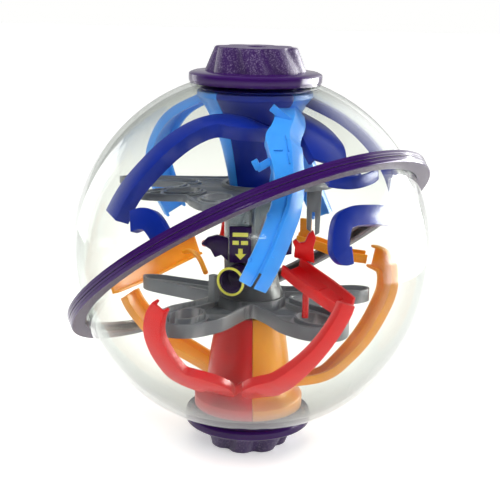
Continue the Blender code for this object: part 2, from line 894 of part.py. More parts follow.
def track_wheel(name, outline, holes, hub_r, bore_r, low, high, slot_at=None):
    """A flower-shaped tray: its lanes run between a rim, the holes' rims and the hub.

    Where slot_at is set, the tip of one lobe is cut open there, at a (radius, azimuth).
    """
    edge = loop_of(outline)
    hub = oval(0, 0, hub_r, hub_r, 16)
    bore = oval(0, 0, bore_r, bore_r, 14)
    ovals = [oval(*hole) for hole in holes]
    rims = [oval(r, a, along + WHEEL_RIM, across + WHEEL_RIM) for r, a, along, across in holes]
    tray = outline_solid(name, [edge, bore, *ovals], low, high, "grey")
    pocket = outline_solid(
        name + "_pocket", [inset(edge, WHEEL_RIM), hub, *rims], low + WHEEL_FLOOR, high + 0.001
    )
    baked(boolean(tray, pocket))
    if slot_at:
        baked(boolean(tray, block(name + "_slot", TIP_SLOT, spot(*slot_at, low), slot_at[1])))
    return tray


def wheels():
    track_wheel(
        "lower_wheel",
        (
            (0.024, -10), (0.044, 4), (0.063, 8), (0.0715, 14), (0.065, 20), (0.046, 24), (0.026, 40),
            (0.0215, 85),
            (0.026, 128), (0.046, 142), (0.066, 147), (0.0725, 152), (0.066, 157), (0.046, 162), (0.025, 174),
            (0.0225, -165),
            (0.033, -152), (0.052, -147), (0.067, -139), (0.0735, -128), (0.068, -117), (0.051, -107),
            (0.032, -99),
            (0.0240, -88),
            (0.034, -76), (0.052, -71), (0.068, -63), (0.0755, -52), (0.069, -41), (0.051, -33), (0.032, -27),
        ),
        ((0.0535, -129, 0.0105, 0.0072), (0.0560, -53, 0.0110, 0.0075)),
        0.0195,
        0.0060,
        LOWER_WHEEL_LOW,
        LOWER_WHEEL_HIGH,
        slot_at=(0.0720, -128.5),
    )
    track_wheel(
        "upper_wheel",
        (
            (0.024, -20), (0.036, -2), (0.046, 12), (0.038, 26), (0.025, 48),
            (0.030, 66), (0.048, 76), (0.055, 84), (0.048, 93), (0.030, 104),
            (0.024, 128),
            (0.034, 150), (0.052, 162), (0.068, 167), (0.0760, 172), (0.068, 177), (0.048, -178),
            (0.038, -168),
            (0.050, -157), (0.063, -153), (0.0690, -147), (0.061, -139), (0.054, -131), (0.060, -122),
            (0.0670, -112), (0.060, -103), (0.044, -96), (0.029, -84),
            (0.0225, -52),
        ),
        ((0.0450, -145, 0.0100, 0.0060), (0.0460, -113, 0.0100, 0.0070), (0.0480, 172, 0.0160, 0.0035)),
        0.0175,
        0.0152,
        UPPER_WHEEL_LOW,
        UPPER_WHEEL_HIGH,
    )


def target():
    """The finish cup with its bright rim, set level on the front of the hub."""
    facing = Matrix.Rotation(math.radians(CUP_AZIMUTH), 4, "Z") @ Matrix.Rotation(math.radians(90), 4, "Y")
    seat = Matrix.Translation(spot(CUP_REACH, CUP_AZIMUTH, CUP_HEIGHT)) @ facing
    floor = 0.0016
    cup = turned(
        "target_cup",
        (
            (0, floor),
            (CUP_BORE_R, floor),
            (CUP_BORE_R, CUP_LENGTH),
            (CUP_R, CUP_LENGTH),
            (CUP_R, 0),
            (0, 0),
        ),
        "purple",
        steps=24,
    )
    transformed(cup, seat)
    rim_low = CUP_LENGTH + GAP
    rim = turned(
        "target_rim",
        (
            (CUP_BORE_R, rim_low + TARGET_RIM_H),
            (TARGET_RIM_R, rim_low + TARGET_RIM_H),
            (TARGET_RIM_R, rim_low),
            (CUP_BORE_R, rim_low),
        ),
        "yellow",
        steps=24,
    )
    transformed(rim, seat)


def standing(obj, front_y):
    """Stands a flat outline up, so that its y becomes height and it faces the front."""
    upright = Matrix.Rotation(math.radians(90), 4, "X")
    return transformed(obj, Matrix.Translation((0, front_y, 0)) @ upright)


def middle_maze():
    bore = AXLE_R + 2 * GAP
    turned(
        "smoky_dome",
        (
            (DOME_R - DOME_WALL, DOME_TOP),
            (DOME_R, DOME_TOP),
            (DOME_R, HUB_TOP + GAP),
            (DOME_R - DOME_WALL, HUB_TOP + GAP),
        ),
        "smoke",
        steps=28,
    )
    foot = LOWER_WHEEL_HIGH + GAP
    turned(
        "middle_hub",
        (
            (bore, HUB_TOP),
            (DOME_R, HUB_TOP),
            (0.0150, -0.0120),
            (0.0165, -0.0190),
            (0.0190, foot),
            (bore, foot),
        ),
        "grey",
        steps=28,
    )
    wheels()
    target()
    turned(
        "axle",
        ((0, AXLE_TOP), (AXLE_R, AXLE_TOP), (AXLE_R, AXLE_BOTTOM), (0, AXLE_BOTTOM)),
        "steel",
        steps=12,
    )
    nut_bore = 0.0028
    for name, low in (("upper_axle_nut", 0.0335), ("lower_axle_nut", -0.0385 - NUT_H)):
        turned(
            name,
            ((nut_bore, low + NUT_H), (NUT_R, low + NUT_H), (NUT_R, low), (nut_bore, low)),
            "steel",
            steps=6,
        )
    plate = outline_solid(
        "label_plate",
        [((-0.0120, -0.0022), (-0.0004, -0.0022), (0.0, 0.0180), (-0.0124, 0.0180))],
        0,
        0.0020,
        "purple",
    )
    standing(plate, -0.0164)
    wing = [(-0.0275, 0.0075), (-0.0225, 0.0045), (-0.0200, 0.0000), (-0.0165, 0.0015), (-0.0128, -0.0020)]
    wing += [(-0.0128, 0.0110), (-0.0190, 0.0125), (-0.0240, 0.0110)]
    left = outline_solid("left_wing", [wing], 0, 0.0030, "purple")
    standing(left, -0.0135)
    right_wing = [(0.0160, -0.0020), (0.0225, -0.0005), (0.0225, 0.0110), (0.0160, 0.0110)]
    right = outline_solid("right_wing", [right_wing], 0, 0.0030, "purple")
    standing(right, 0.0)
    block("hub_post", (0.0040, 0.0050, 0.0150), spot(0.0275, -137, foot + 0.0075), -137, "grey")
    fork = [(-0.0042, 0.0352), (-0.0036, 0.0120), (-0.0012, 0.0105), (-0.0008, 0.0220), (0.0008, 0.0220)]
    fork += [(0.0012, 0.0085), (0.0036, 0.0100), (0.0042, 0.0352)]
    prong = outline_solid("hanging_fork", [fork], 0, 0.0030, "grey")
    standing(prong, 0.0)
    transformed(prong, Matrix.Translation((0.0345, 0.0085, 0)))


def ball():
    mesh = bpy.data.meshes.new("steel_ball")
    bm = bmesh.new()
    bmesh.ops.create_uvsphere(bm, u_segments=20, v_segments=12, radius=BALL_R)
    bm.to_mesh(mesh)
    bm.free()
    rest = SHELL_R - SHELL_WALL - BALL_R - BALL_LIFT
    height = -math.sqrt(rest**2 - TROUGH_R**2)
    mesh.transform(Matrix.Translation(spot(TROUGH_R, BALL_AZIMUTH, height)))
    smooth(place("steel_ball", mesh, "steel"))


casing()
knobs_and_necks()
upper_tracks()
lower_tracks()
middle_maze()
ball()
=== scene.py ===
"""The looks of the maze ball: finer mouldings with their plastics, a pale studio and the camera.

Metres, +Z up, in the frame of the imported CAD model, whose front faces -Y.
A place on a track is given as (radius from Z, azimuth in degrees, height).
"""

import json
import math

import bmesh
import bpy
import numpy as np
from mathutils import Matrix, Vector


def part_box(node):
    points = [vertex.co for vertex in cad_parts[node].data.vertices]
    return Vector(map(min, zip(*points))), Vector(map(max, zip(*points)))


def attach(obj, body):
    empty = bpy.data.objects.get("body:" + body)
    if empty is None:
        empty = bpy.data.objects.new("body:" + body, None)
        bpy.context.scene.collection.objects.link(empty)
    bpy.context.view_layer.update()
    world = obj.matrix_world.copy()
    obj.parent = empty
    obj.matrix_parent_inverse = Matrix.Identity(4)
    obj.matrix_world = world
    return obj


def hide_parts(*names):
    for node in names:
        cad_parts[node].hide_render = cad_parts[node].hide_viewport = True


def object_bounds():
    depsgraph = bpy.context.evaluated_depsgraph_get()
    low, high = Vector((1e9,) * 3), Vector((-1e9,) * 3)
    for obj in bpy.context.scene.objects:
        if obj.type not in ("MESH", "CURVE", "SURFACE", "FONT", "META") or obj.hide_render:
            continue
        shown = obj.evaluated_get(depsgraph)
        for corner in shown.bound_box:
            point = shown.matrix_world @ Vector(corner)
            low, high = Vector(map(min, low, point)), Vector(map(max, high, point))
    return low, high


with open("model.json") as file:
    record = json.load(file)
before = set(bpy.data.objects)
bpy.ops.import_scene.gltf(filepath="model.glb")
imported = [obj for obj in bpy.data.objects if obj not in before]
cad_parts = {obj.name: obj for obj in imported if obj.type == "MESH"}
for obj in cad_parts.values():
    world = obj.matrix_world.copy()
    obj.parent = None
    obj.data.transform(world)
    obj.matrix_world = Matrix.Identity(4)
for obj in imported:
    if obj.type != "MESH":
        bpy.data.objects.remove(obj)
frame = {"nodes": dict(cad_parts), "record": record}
CAD_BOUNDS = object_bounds()
BODY_OF = {node: body for body, nodes in frame["record"]["behaviour"]["bodies"].items() for node in nodes}

# Casing
GAP = 0.0003
SHELL_R = 0.0999
SHELL_WALL = 0.0025
POLE_HOLE_R = 0.0246
POLE_CUT = (0.06, 0.11)
FLANGE_R = 0.1042
FLANGE_LOW = 0.00015
FLANGE_HIGH = 0.0016
RING_TILT = 36.5
RING_AZIMUTH = 135.0
RING_R = 0.1084
RING_HALF = 0.00355
GROOVE = 0.00022
GROOVE_PLACE = 0.0016
RING_CHAMFER = 0.0006
AROUND = 144

# Knobs
KNOB_FACE_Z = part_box("top_knob")[1].z
KNOB_FACE_R = 0.0226
KNOB_FOOT_Z = 0.1010
KNOB_FOOT_R = 0.0274
KNOB_RIM_R = 0.0362
KNOB_NECK_R = 0.0240
KNOB_NECK_Z = 0.0900
KNOB_HOLE_R = 0.0052
KNOB_HOLE_DEPTH = 0.0050
KNOB_FILLET = 0.0006
KNOB_GRIP_ROWS = 14
# From the grip's foot out over the rounded shoulder of the flange, and down its rim
KNOB_SHOULDER = ((0.0340, 0.1000), (0.0356, 0.0993), (0.0361, 0.0987))
KNOB_RIM = ((KNOB_RIM_R, 0.0978), (KNOB_RIM_R, 0.0957), (KNOB_RIM_R - 0.0002, 0.0951))
LOBES = 8
LOBE_DEPTH = 0.0036
LOBE_LEAN = 12.0

# Necks, as (radius, height) down the outside
COLLAR_TOP = KNOB_NECK_Z - GAP
COLLAR_BORE_R = KNOB_NECK_R + 0.0008
COLLAR_DOME_R = 0.0950
UPPER_NECK = ((0.0315, 0.0870), (0.0255, 0.0780), (0.0180, 0.0600), (0.0112, 0.0300))
LOWER_NECK = ((0.0310, 0.0840), (0.0245, 0.0770), (0.0225, 0.0600), (0.0185, 0.0350))
NECK_WALL = 0.0020
NECK_MOUTH_R = 0.0060
PANEL_HALF_ANGLE = 40.0
RED_SEAM_AZIMUTH = -85.0

# Tracks
TRACK_WALL = 0.0015
TRACK_LIP = 0.0050
TRACK_STEPS = 7
ARCH_LIP = 0.0078
RAIL_LIP = 0.0052
EDGE = 0.00032
RIDGE_BARS = 14
RIDGE_STEP = 0.045
CROWN = (
    (-0.0050, 0.0004), (0.0058, -0.0024), (0.0050, 0.0060), (0.0062, 0.0110), (0.0046, 0.0150),
    (0.0022, 0.0130), (0.0004, 0.0085), (-0.0022, 0.0080), (-0.0044, 0.0100), (-0.0060, 0.0085),
    (-0.0046, 0.0055),
)
CROWN_THICKNESS = 0.0035
CROWN_PLACE = (0.0275, -0.0345, 0.0062)
RED_POST_WIRE_R = 0.0017
RED_PRONG_WIRE_R = 0.0022
ORANGE_HOOP_WIRE_R = 0.0016
ORANGE_PRONG_PLACE = (0.0600, 57, 0.0021)
ORANGE_PRONG_SIZE = (0.0025, 0.0070, 0.0128)

# Middle maze
AXLE_R = 0.0020
DOME_R = 0.0155
DOME_WALL = 0.0015
DOME_TOP = 0.0350
HUB_TOP = 0.0
HUB_WAIST = ((0.0150, -0.0120), (0.0165, -0.0190))
HUB_FOOT_R = 0.0190
HUB_POST_PLACE = (0.0275, -137)
HUB_POST_SIZE = (0.0040, 0.0050, 0.0150)
WHEEL_FLOOR = 0.0016
WHEEL_RIM = 0.0014
WHEEL_LANE = 0.0032
WHEEL_STEP = 0.55
TIP_SLOT = (0.0180, 0.0034, 0.0200)
LOWER_WHEEL_LOW = -0.0320
LOWER_WHEEL_HIGH = -0.0245
UPPER_WHEEL_LOW = 0.0355
UPPER_WHEEL_HIGH = 0.0392
CUP_R = 0.0074
CUP_BORE_R = 0.0057
CUP_LENGTH = 0.0105
CUP_REACH = 0.0178
CUP_AZIMUTH = -112.0
CUP_HEIGHT = -0.0105
CUP_FLOOR = 0.0016
TARGET_RIM_R = 0.0080
TARGET_BORE_R = 0.0067
TARGET_RIM_H = 0.0012

# Plates that stand up and face the front, as outlines in x and z
PLATE_FRONT_Y = -0.0164
PLATE_THICKNESS = 0.0020
WING_THICKNESS = 0.0030
LEFT_WING_FRONT_Y = -0.0135
RIGHT_WING_FRONT_Y = 0.0
LABEL_PLATE = ((-0.0120, -0.0022), (-0.0004, -0.0022), (0.0, 0.0180), (-0.0124, 0.0180))
LEFT_WING = (
    (-0.0275, 0.0075), (-0.0225, 0.0045), (-0.0200, 0.0000), (-0.0165, 0.0015), (-0.0128, -0.0020),
    (-0.0128, 0.0110), (-0.0190, 0.0125), (-0.0240, 0.0110),
)
RIGHT_WING = ((0.0160, -0.0020), (0.0225, -0.0005), (0.0225, 0.0110), (0.0160, 0.0110))
HANGING_FORK = (
    (-0.0042, 0.0352), (-0.0036, 0.0120), (-0.0012, 0.0105), (-0.0008, 0.0220), (0.0008, 0.0220),
    (0.0012, 0.0085), (0.0036, 0.0100), (0.0042, 0.0352),
)
HANGING_FORK_PLACE = (0.0345, 0.0085, 0)
# Plain printed marks on the label plate: bars as (left, low, width, height), and an arrow
INK = 0.0002
INK_FRONT_Y = -0.01842
LABEL_BARS = (
    (-0.0104, 0.0125, 0.0084, 0.0022), (-0.0104, 0.0080, 0.0034, 0.0022), (-0.0058, 0.0080, 0.0038, 0.0022),
)
LABEL_ARROW = (
    (-0.0072, 0.0058), (-0.0072, 0.0028), (-0.0090, 0.0028), (-0.0060, -0.0004), (-0.0030, 0.0028),
    (-0.0048, 0.0028), (-0.0048, 0.0058),
)

# Camera and studio
CAMERA_DISTANCE = 0.600
CAMERA_ELEVATION = 14.03
CAMERA_ROLL = 1.33
CAMERA_LENS = 76.82
CAMERA_SENSOR = 36.0
CAMERA_SHIFT = (-0.0030, 0.0023)
FLOOR_HALF = 6.0
FLOOR_GLOW = (0.40, 0.66)
FLOOR_GLOW_REACH = (0.4, 2.2)
# Lamps that light the mouldings and stay out of the gloss: (name, direction, size, power)
FILL_DISTANCE = 1.3
FILLS = (
    ("front_fill", (-0.30, -0.75, 0.80), (0.80, 0.60), 14.0),
    ("right_fill", (0.85, -0.55, 0.25), (0.60, 0.60), 5.0),
    ("roof_fill", (0.10, 0.10, 1.0), (0.90, 0.90), 13.0),
)
# Lamps that only show in the gloss: (name, direction, distance, size, power)
GLINTS = (
    ("front_lamp", (0.05, -1.0, 0.42), 1.60, (0.30, 0.07), 1.6),
    ("right_box", (0.93, 0.30, 0.14), 0.50, (0.42, 0.22), 6.0),
    ("right_box_skirt", (0.93, 0.30, 0.06), 0.50, (0.46, 0.34), 4.0),
    ("left_box", (-0.80, 0.60, 0.15), 0.60, (0.20, 0.30), 0.5),
)
# The tent's light rises from the camera's side to the back, along the y of its direction
TENT_DEPTH = (-0.3, 0.9)
TENT_STRENGTH = (0.03, 0.60)
# Bright parts of the tent: (direction, wide angle, narrow angle, strength)
TENT_LOBES = (
    ((0.74, 0.62, 0.22), 40.0, 14.0, 2.0),
    ((-0.86, 0.52, 0.25), 30.0, 8.0, 1.0),
)

# The tooled grain of the plastics
GRAIN_SIZE = 0.0006
GRAIN_DEPTH = 0.00001
SPARK_DEPTH = 0.00012

RING_FRAME = (
    Matrix.Rotation(math.radians(RING_AZIMUTH), 4, "Z") @ Matrix.Rotation(math.radians(RING_TILT), 4, "Y")
)
RING_AXIS = (RING_FRAME.to_3x3() @ Vector((0, 0, 1))).normalized()
MIRRORED = Matrix.Diagonal((1, 1, -1, 1))

# ---------------------------------------------------------------- materials


def node(tree, kind, inputs=None, **settings):
    """One shader node; an input is a value or another node's output."""
    made = tree.nodes.new(kind)
    for key, value in settings.items():
        setattr(made, key, value)
    for key, value in (inputs or {}).items():
        if isinstance(value, bpy.types.NodeSocket):
            tree.links.new(value, made.inputs[key])
        else:
            made.inputs[key].default_value = value
    return made


def new_material(name):
    material = bpy.data.materials.new(name)
    material.use_nodes = True
    tree = material.node_tree
    return material, tree, tree.nodes["Principled BSDF"]


def object_place(tree):
    return node(tree, "ShaderNodeTexCoord").outputs["Object"]


def noise(tree, place, scale, detail, distortion=0.0):
    """A soft random pattern from 0 to 1."""
    settings = {"Vector": place, "Scale": scale, "Detail": detail, "Distortion": distortion}
    return node(tree, "ShaderNodeTexNoise", settings).outputs["Fac"]


def set_bump(tree, shader, height, distance, strength=1.0):
    """Raises the surface by a pattern; the distance is in metres."""
    settings = {"Height": height, "Strength": strength, "Distance": distance}
    tree.links.new(node(tree, "ShaderNodeBump", settings).outputs["Normal"], shader.inputs["Normal"])


def mapped(tree, value, source, target=(0.0, 1.0), **settings):
    """A value moved from the source's span to the target's, and held within it."""
    spans = {"Value": value, "From Min": source[0], "From Max": source[1]}
    spans.update({"To Min": target[0], "To Max": target[1]})
    return node(tree, "ShaderNodeMapRange", spans, **settings).outputs["Result"]


def spread(tree, value, low, high):
    """A value from 0 to 1, laid out from low to high."""
    return mapped(tree, value, (0.0, 1.0), (low, high))


def tinted(tree, value, first, second):
    """A colour that goes from first to second as the value goes from 0 to 1."""
    mix = node(tree, "ShaderNodeMix", {"Factor": value}, data_type="RGBA")
    mix.inputs["A"].default_value = (*first, 1)
    mix.inputs["B"].default_value = (*second, 1)
    return mix.outputs["Result"]


def shade(colour, amount):
    return tuple(min(1.0, part * amount) for part in colour)


def plastic(name, tint, roughness, glow=0.0, edge_highlight=0.10, edge_highlight_from=0.62):
    """Moulded plastic: slow flow marks in its colour, a fine tooled grain, and edges paled towards white as a
    painted highlight.
    """
    material, tree, shader = new_material(name)
    place = object_place(tree)
    flow = noise(tree, place, 55.0, 3.0, 0.8)
    grain = noise(tree, place, 1 / GRAIN_SIZE, 2.0)
    # Pointy edges are paled towards white: a painted highlight along the rims where they would catch the
    # light
    corner = node(tree, "ShaderNodeNewGeometry").outputs["Pointiness"]
    edge_highlight_share = mapped(tree, corner, (edge_highlight_from, edge_highlight_from + 0.15), (0.0, edge_highlight))
    edged = node(tree, "ShaderNodeMix", {"Factor": edge_highlight_share}, data_type="RGBA")
    tree.links.new(tinted(tree, flow, shade(tint, 0.80), shade(tint, 1.20)), edged.inputs["A"])
    edged.inputs["B"].default_value = (*(0.45 * part + 0.5 for part in tint), 1)
    tree.links.new(edged.outputs["Result"], shader.inputs["Base Color"])
    tree.links.new(spread(tree, grain, roughness - 0.07, roughness + 0.09), shader.inputs["Roughness"])
    set_bump(tree, shader, grain, GRAIN_DEPTH)
    shader.inputs["Specular IOR Level"].default_value = 0.22
    if glow:
        shader.inputs["Subsurface Weight"].default_value = glow
        shader.inputs["Subsurface Radius"].default_value = (1.0, 0.5, 0.25)
        shader.inputs["Subsurface Scale"].default_value = 0.004
    return material


def sparked_plastic(name, tint, fleck, roughness):
    """Plastic from a spark-eroded mould: close pits that catch the light as pale flecks."""
    material, tree, shader = new_material(name)
    place = object_place(tree)
    pits = node(tree, "ShaderNodeTexVoronoi", {"Vector": place, "Scale": 1 / GRAIN_SIZE}).outputs["Distance"]
    cloud = noise(tree, place, 0.8 / GRAIN_SIZE, 3.0)
    flecks = tinted(tree, mapped(tree, cloud, (0.52, 0.66)), tint, fleck)
    tree.links.new(flecks, shader.inputs["Base Color"])
    height = node(tree, "ShaderNodeMath", {0: cloud, 1: pits}, operation="ADD").outputs["Value"]
    set_bump(tree, shader, height, SPARK_DEPTH)
    tree.links.new(spread(tree, cloud, roughness - 0.1, roughness + 0.12), shader.inputs["Roughness"])
    return material


def facing_edge(tree):
    """How far a wall turns from the eye: 0 head on and 1 at a glancing angle."""
    return node(tree, "ShaderNodeLayerWeight", {"Blend": 0.5}).outputs["Facing"]


def raised(tree, value, power):
    return node(tree, "ShaderNodeMath", {0: value, 1: power}, operation="POWER").outputs["Value"]


def clear_plastic(name, pane_tint, edge_tint, base, power, gloss_roughness, haze=0.0, haze_tint=(1, 1, 1)):
    """A see-through wall: it passes light straight and greys towards its outline.

    It mirrors by angle: the base amount head on, rising by the power to 1 at a glancing angle.
    """
    material, tree, shader = new_material(name)
    tree.nodes.remove(shader)
    place = object_place(tree)
    scuff = noise(tree, place, 140.0, 6.0, 1.5)
    pane = tinted(tree, raised(tree, facing_edge(tree), 3.0), pane_tint, edge_tint)
    passed = node(tree, "ShaderNodeBsdfTransparent", {"Color": pane}).outputs["BSDF"]
    smear = spread(tree, scuff, gloss_roughness * 0.5, gloss_roughness * 1.6)
    gloss = node(tree, "ShaderNodeBsdfGlossy", {"Color": (1, 1, 1, 1), "Roughness": smear})
    set_bump(tree, gloss, noise(tree, place, 30.0, 1.0), 0.0002)
    mirror = spread(tree, raised(tree, facing_edge(tree), power), base, 1.0)
    sides = {0: mirror, 1: passed, 2: gloss.outputs["BSDF"]}
    surface = node(tree, "ShaderNodeMixShader", sides).outputs["Shader"]
    if haze:
        film = node(tree, "ShaderNodeBsdfDiffuse", {"Color": (*haze_tint, 1)}).outputs["BSDF"]
        amount = spread(tree, scuff, haze * 0.6, haze * 1.4)
        surface = node(tree, "ShaderNodeMixShader", {0: amount, 1: surface, 2: film}).outputs["Shader"]
    tree.links.new(surface, tree.nodes["Material Output"].inputs["Surface"])
    return material


def metal(name, tint, roughness, scratch_scale):
    """Steel with fine scratches and a faint stain."""
    material, tree, shader = new_material(name)
    along = {"Vector": object_place(tree), "Scale": (1.0, 1.0, 12.0)}
    scratch = noise(tree, node(tree, "ShaderNodeMapping", along).outputs["Vector"], scratch_scale, 4.0)
    tree.links.new(tinted(tree, scratch, shade(tint, 0.75), shade(tint, 1.15)), shader.inputs["Base Color"])
    tree.links.new(spread(tree, scratch, roughness * 0.6, roughness * 1.6), shader.inputs["Roughness"])
    set_bump(tree, shader, scratch, GRAIN_DEPTH)
    shader.inputs["Metallic"].default_value = 1.0
    return material


def floor_paper(name):
    """Matt white studio paper with a faint tooth; it glows a little, and more far away."""
    material, tree, shader = new_material(name)
    place = object_place(tree)
    tooth = noise(tree, place, 900.0, 3.0)
    tree.links.new(tinted(tree, tooth, (0.90, 0.90, 0.89), (0.95, 0.95, 0.94)), shader.inputs["Base Color"])
    set_bump(tree, shader, tooth, 0.00005, 0.5)
    shader.inputs["Roughness"].default_value = 0.9
    shader.inputs["Specular IOR Level"].default_value = 0.1
    shader.inputs["Emission Color"].default_value = (1.0, 1.0, 0.99, 1)
    away = node(tree, "ShaderNodeVectorMath", {0: place}, operation="LENGTH").outputs["Value"]
    glow = mapped(tree, away, FLOOR_GLOW_REACH, FLOOR_GLOW)
    tree.links.new(glow, shader.inputs["Emission Strength"])
    return material


PURPLE = (0.026, 0.0045, 0.070)
DARK_BLUE = (0.003, 0.020, 0.270)
LIGHT_BLUE = (0.045, 0.300, 1.000)
GREY = (0.135, 0.143, 0.163)
RED = (0.640, 0.006, 0.008)
ORANGE = (0.980, 0.350, 0.025)
YELLOW = (0.780, 0.740, 0.110)

MATERIALS = {
    "clear_shell": clear_plastic(
        "clear_shell", (0.938, 0.945, 0.928), (0.52, 0.55, 0.53), base=0.005, power=4.6, gloss_roughness=0.07
    ),
    "purple_knob": sparked_plastic("purple_knob", shade(PURPLE, 0.9), (0.12, 0.085, 0.17), 0.34),
    "purple_gloss": plastic("purple_gloss", PURPLE, 0.14),
    # Greyed purple with grey flecks for the ring's flat faces: the spark-eroded grain is real, the grey is a
    # painted sheen of reflected light
    "purple_grain_and_sheen": sparked_plastic("purple_grain_and_sheen", (0.045, 0.030, 0.060), (0.17, 0.155, 0.17), 0.50),
    # Pale lilac for the ring's inward faces: painted light in place of the shade they lie in, so they read
    # pale through the shell
    "lilac_painted_light": plastic("lilac_painted_light", (0.300, 0.275, 0.340), 0.40),
    "purple_label": plastic("purple_label", shade(PURPLE, 0.7), 0.28),
    "screw_steel": metal("screw_steel", (0.42, 0.42, 0.44), 0.30, 900.0),
    "ball_steel": metal("ball_steel", (0.78, 0.79, 0.80), 0.08, 300.0),
    # The dark blue takes only a faint painted highlight on its edges
    "dark_blue": plastic("dark_blue", DARK_BLUE, 0.30, edge_highlight=0.05),
    "light_blue": plastic("light_blue", LIGHT_BLUE, 0.30, glow=0.15),
    # The grey takes the strongest painted highlight on its rims, from a lower pointiness
    "grey": plastic("grey", GREY, 0.32, edge_highlight=0.45, edge_highlight_from=0.53),
    "dark_grey": plastic("dark_grey", shade(GREY, 0.45), 0.30),
    "smoke": clear_plastic(
        "smoke", (0.62, 0.65, 0.68), (0.30, 0.33, 0.36), base=0.06, power=4.0, gloss_roughness=0.10,
        haze=0.16, haze_tint=(0.10, 0.13, 0.15),
    ),
    "yellow": plastic("yellow", YELLOW, 0.40),
    "red": plastic("red", RED, 0.28, glow=0.12),
    "orange": plastic("orange", ORANGE, 0.28, glow=0.30),
}

# ---------------------------------------------------------------- shapes


def place_mesh(name, mesh):
    obj = bpy.data.objects.new(name, mesh)
    bpy.context.scene.collection.objects.link(obj)
    return obj


def kept_mesh(name, bm):
    """Puts a finished bmesh into the scene as an object."""
    mesh = bpy.data.meshes.new(name)
    bm.to_mesh(mesh)
    bm.free()
    return place_mesh(name, mesh)


def curve_mesh(name, curve):
    """The skin of a curve, as a mesh of its own."""
    guide = place_mesh(name + "_guide", curve)
    bpy.context.view_layer.update()
    graph = bpy.context.evaluated_depsgraph_get()
    mesh = bpy.data.meshes.new_from_object(guide.evaluated_get(graph))
    bpy.data.objects.remove(guide)
    return mesh


def baked(obj):
    """Keeps what the modifiers have made as the object's own mesh."""
    bpy.context.view_layer.update()
    graph = bpy.context.evaluated_depsgraph_get()
    mesh = bpy.data.meshes.new_from_object(obj.evaluated_get(graph))
    obj.modifiers.clear()
    obj.data = mesh
    return obj


def smooth(obj, angle=35.0):
    obj.data.shade_smooth()
    obj.data.set_sharp_from_angle(angle=math.radians(angle))
    return obj


def eased(obj, width=EDGE, segments=2, angle=32.0):
    """Rounds the sharp edges, as a mould does."""
    step = obj.modifiers.new("edge", "BEVEL")
    step.width = width
    step.segments = segments
    step.limit_method = "ANGLE"
    step.angle_limit = math.radians(angle)
    step.use_clamp_overlap = True
    return smooth(baked(obj), 40.0)


def boolean(obj, other, operation="DIFFERENCE"):
    """Cuts the object by another, which is then thrown away."""
    step = obj.modifiers.new(operation.lower(), "BOOLEAN")
    step.operation = operation
    step.solver = "EXACT"
    step.object = other
    baked(obj)
    bpy.data.objects.remove(other, do_unlink=True)
    return obj


def joined(name, objs):
    """Several meshes as one object, which still needs its finish."""
    bm = bmesh.new()
    for obj in objs:
        bm.from_mesh(obj.data)
    for obj in objs:
        bpy.data.objects.remove(obj, do_unlink=True)
    return smooth(kept_mesh(name, bm), 40.0)


def turned(name, profile, steps=AROUND, start=0.0, sweep=360.0):
    """A profile of (radius, height), run down its outer side, turned about Z."""
    whole = sweep >= 360
    count = steps if whole else max(3, round(steps * sweep / 360))
    angles = [math.radians(start + sweep * i / count) for i in range(count if whole else count + 1)]
    bm = bmesh.new()
    rings = []
    for radius, height in profile:
        if radius == 0:
            rings.append([bm.verts.new((0, 0, height))] * len(angles))
        else:
            places = [(radius * math.cos(a), radius * math.sin(a), height) for a in angles]
            rings.append([bm.verts.new(place) for place in places])
    closed = profile[0][0] > 0
    pairs = list(zip(rings, rings[1:])) + ([(rings[-1], rings[0])] if closed else [])
    spans = len(angles) if whole else len(angles) - 1
    for first, second in pairs:
        for i in range(spans):
            j = (i + 1) % len(angles)
            corners = []
            for vert in (first[i], second[i], second[j], first[j]):
                if vert not in corners:
                    corners.append(vert)
            if len(corners) > 2:
                bm.faces.new(corners)
    if not whole:
        for i in (0, len(angles) - 1):
            bm.faces.new([ring[i] for ring in rings])
    bmesh.ops.recalc_face_normals(bm, faces=bm.faces)
    return smooth(kept_mesh(name, bm))


def transformed(obj, matrix):
    """Moves the mesh itself, and turns its faces back out after a mirroring."""
    obj.data.transform(matrix)
    if matrix.determinant() < 0:
        obj.data.flip_normals()
    return obj


def spot(radius, azimuth, height):
    angle = math.radians(azimuth)
    return Vector((radius * math.cos(angle), radius * math.sin(angle), height))


def arc(radius, start, end, count):
    """(radius, height) points on a circle about the origin, with angles from the equator in degrees."""
    angles = [math.radians(start + (end - start) * i / count) for i in range(count + 1)]
    return [(radius * math.cos(a), radius * math.sin(a)) for a in angles]


def catmull_rom(points, steps, closed=False):
    """Smooth points through the given ones, as rows of an array."""
    points = np.array(points, float)
    if closed:
        padded = np.vstack([points[-1], points, points[0], points[1]])
        spans = len(points)
    else:
        padded = np.vstack([2 * points[0] - points[1], points, 2 * points[-1] - points[-2]])
        spans = len(points) - 1
    rows = []
    for span in range(spans):
        a, b, c, d = padded[span : span + 4]
        for step in range(steps):
            t = step / steps
            square = (2 * a - 5 * b + 4 * c - d) * t**2
            cube = (3 * b - a - 3 * c + d) * t**3
            rows.append(0.5 * (2 * b + (c - a) * t + square + cube))
    if not closed:
        rows.append(points[-1])
    return np.array(rows)


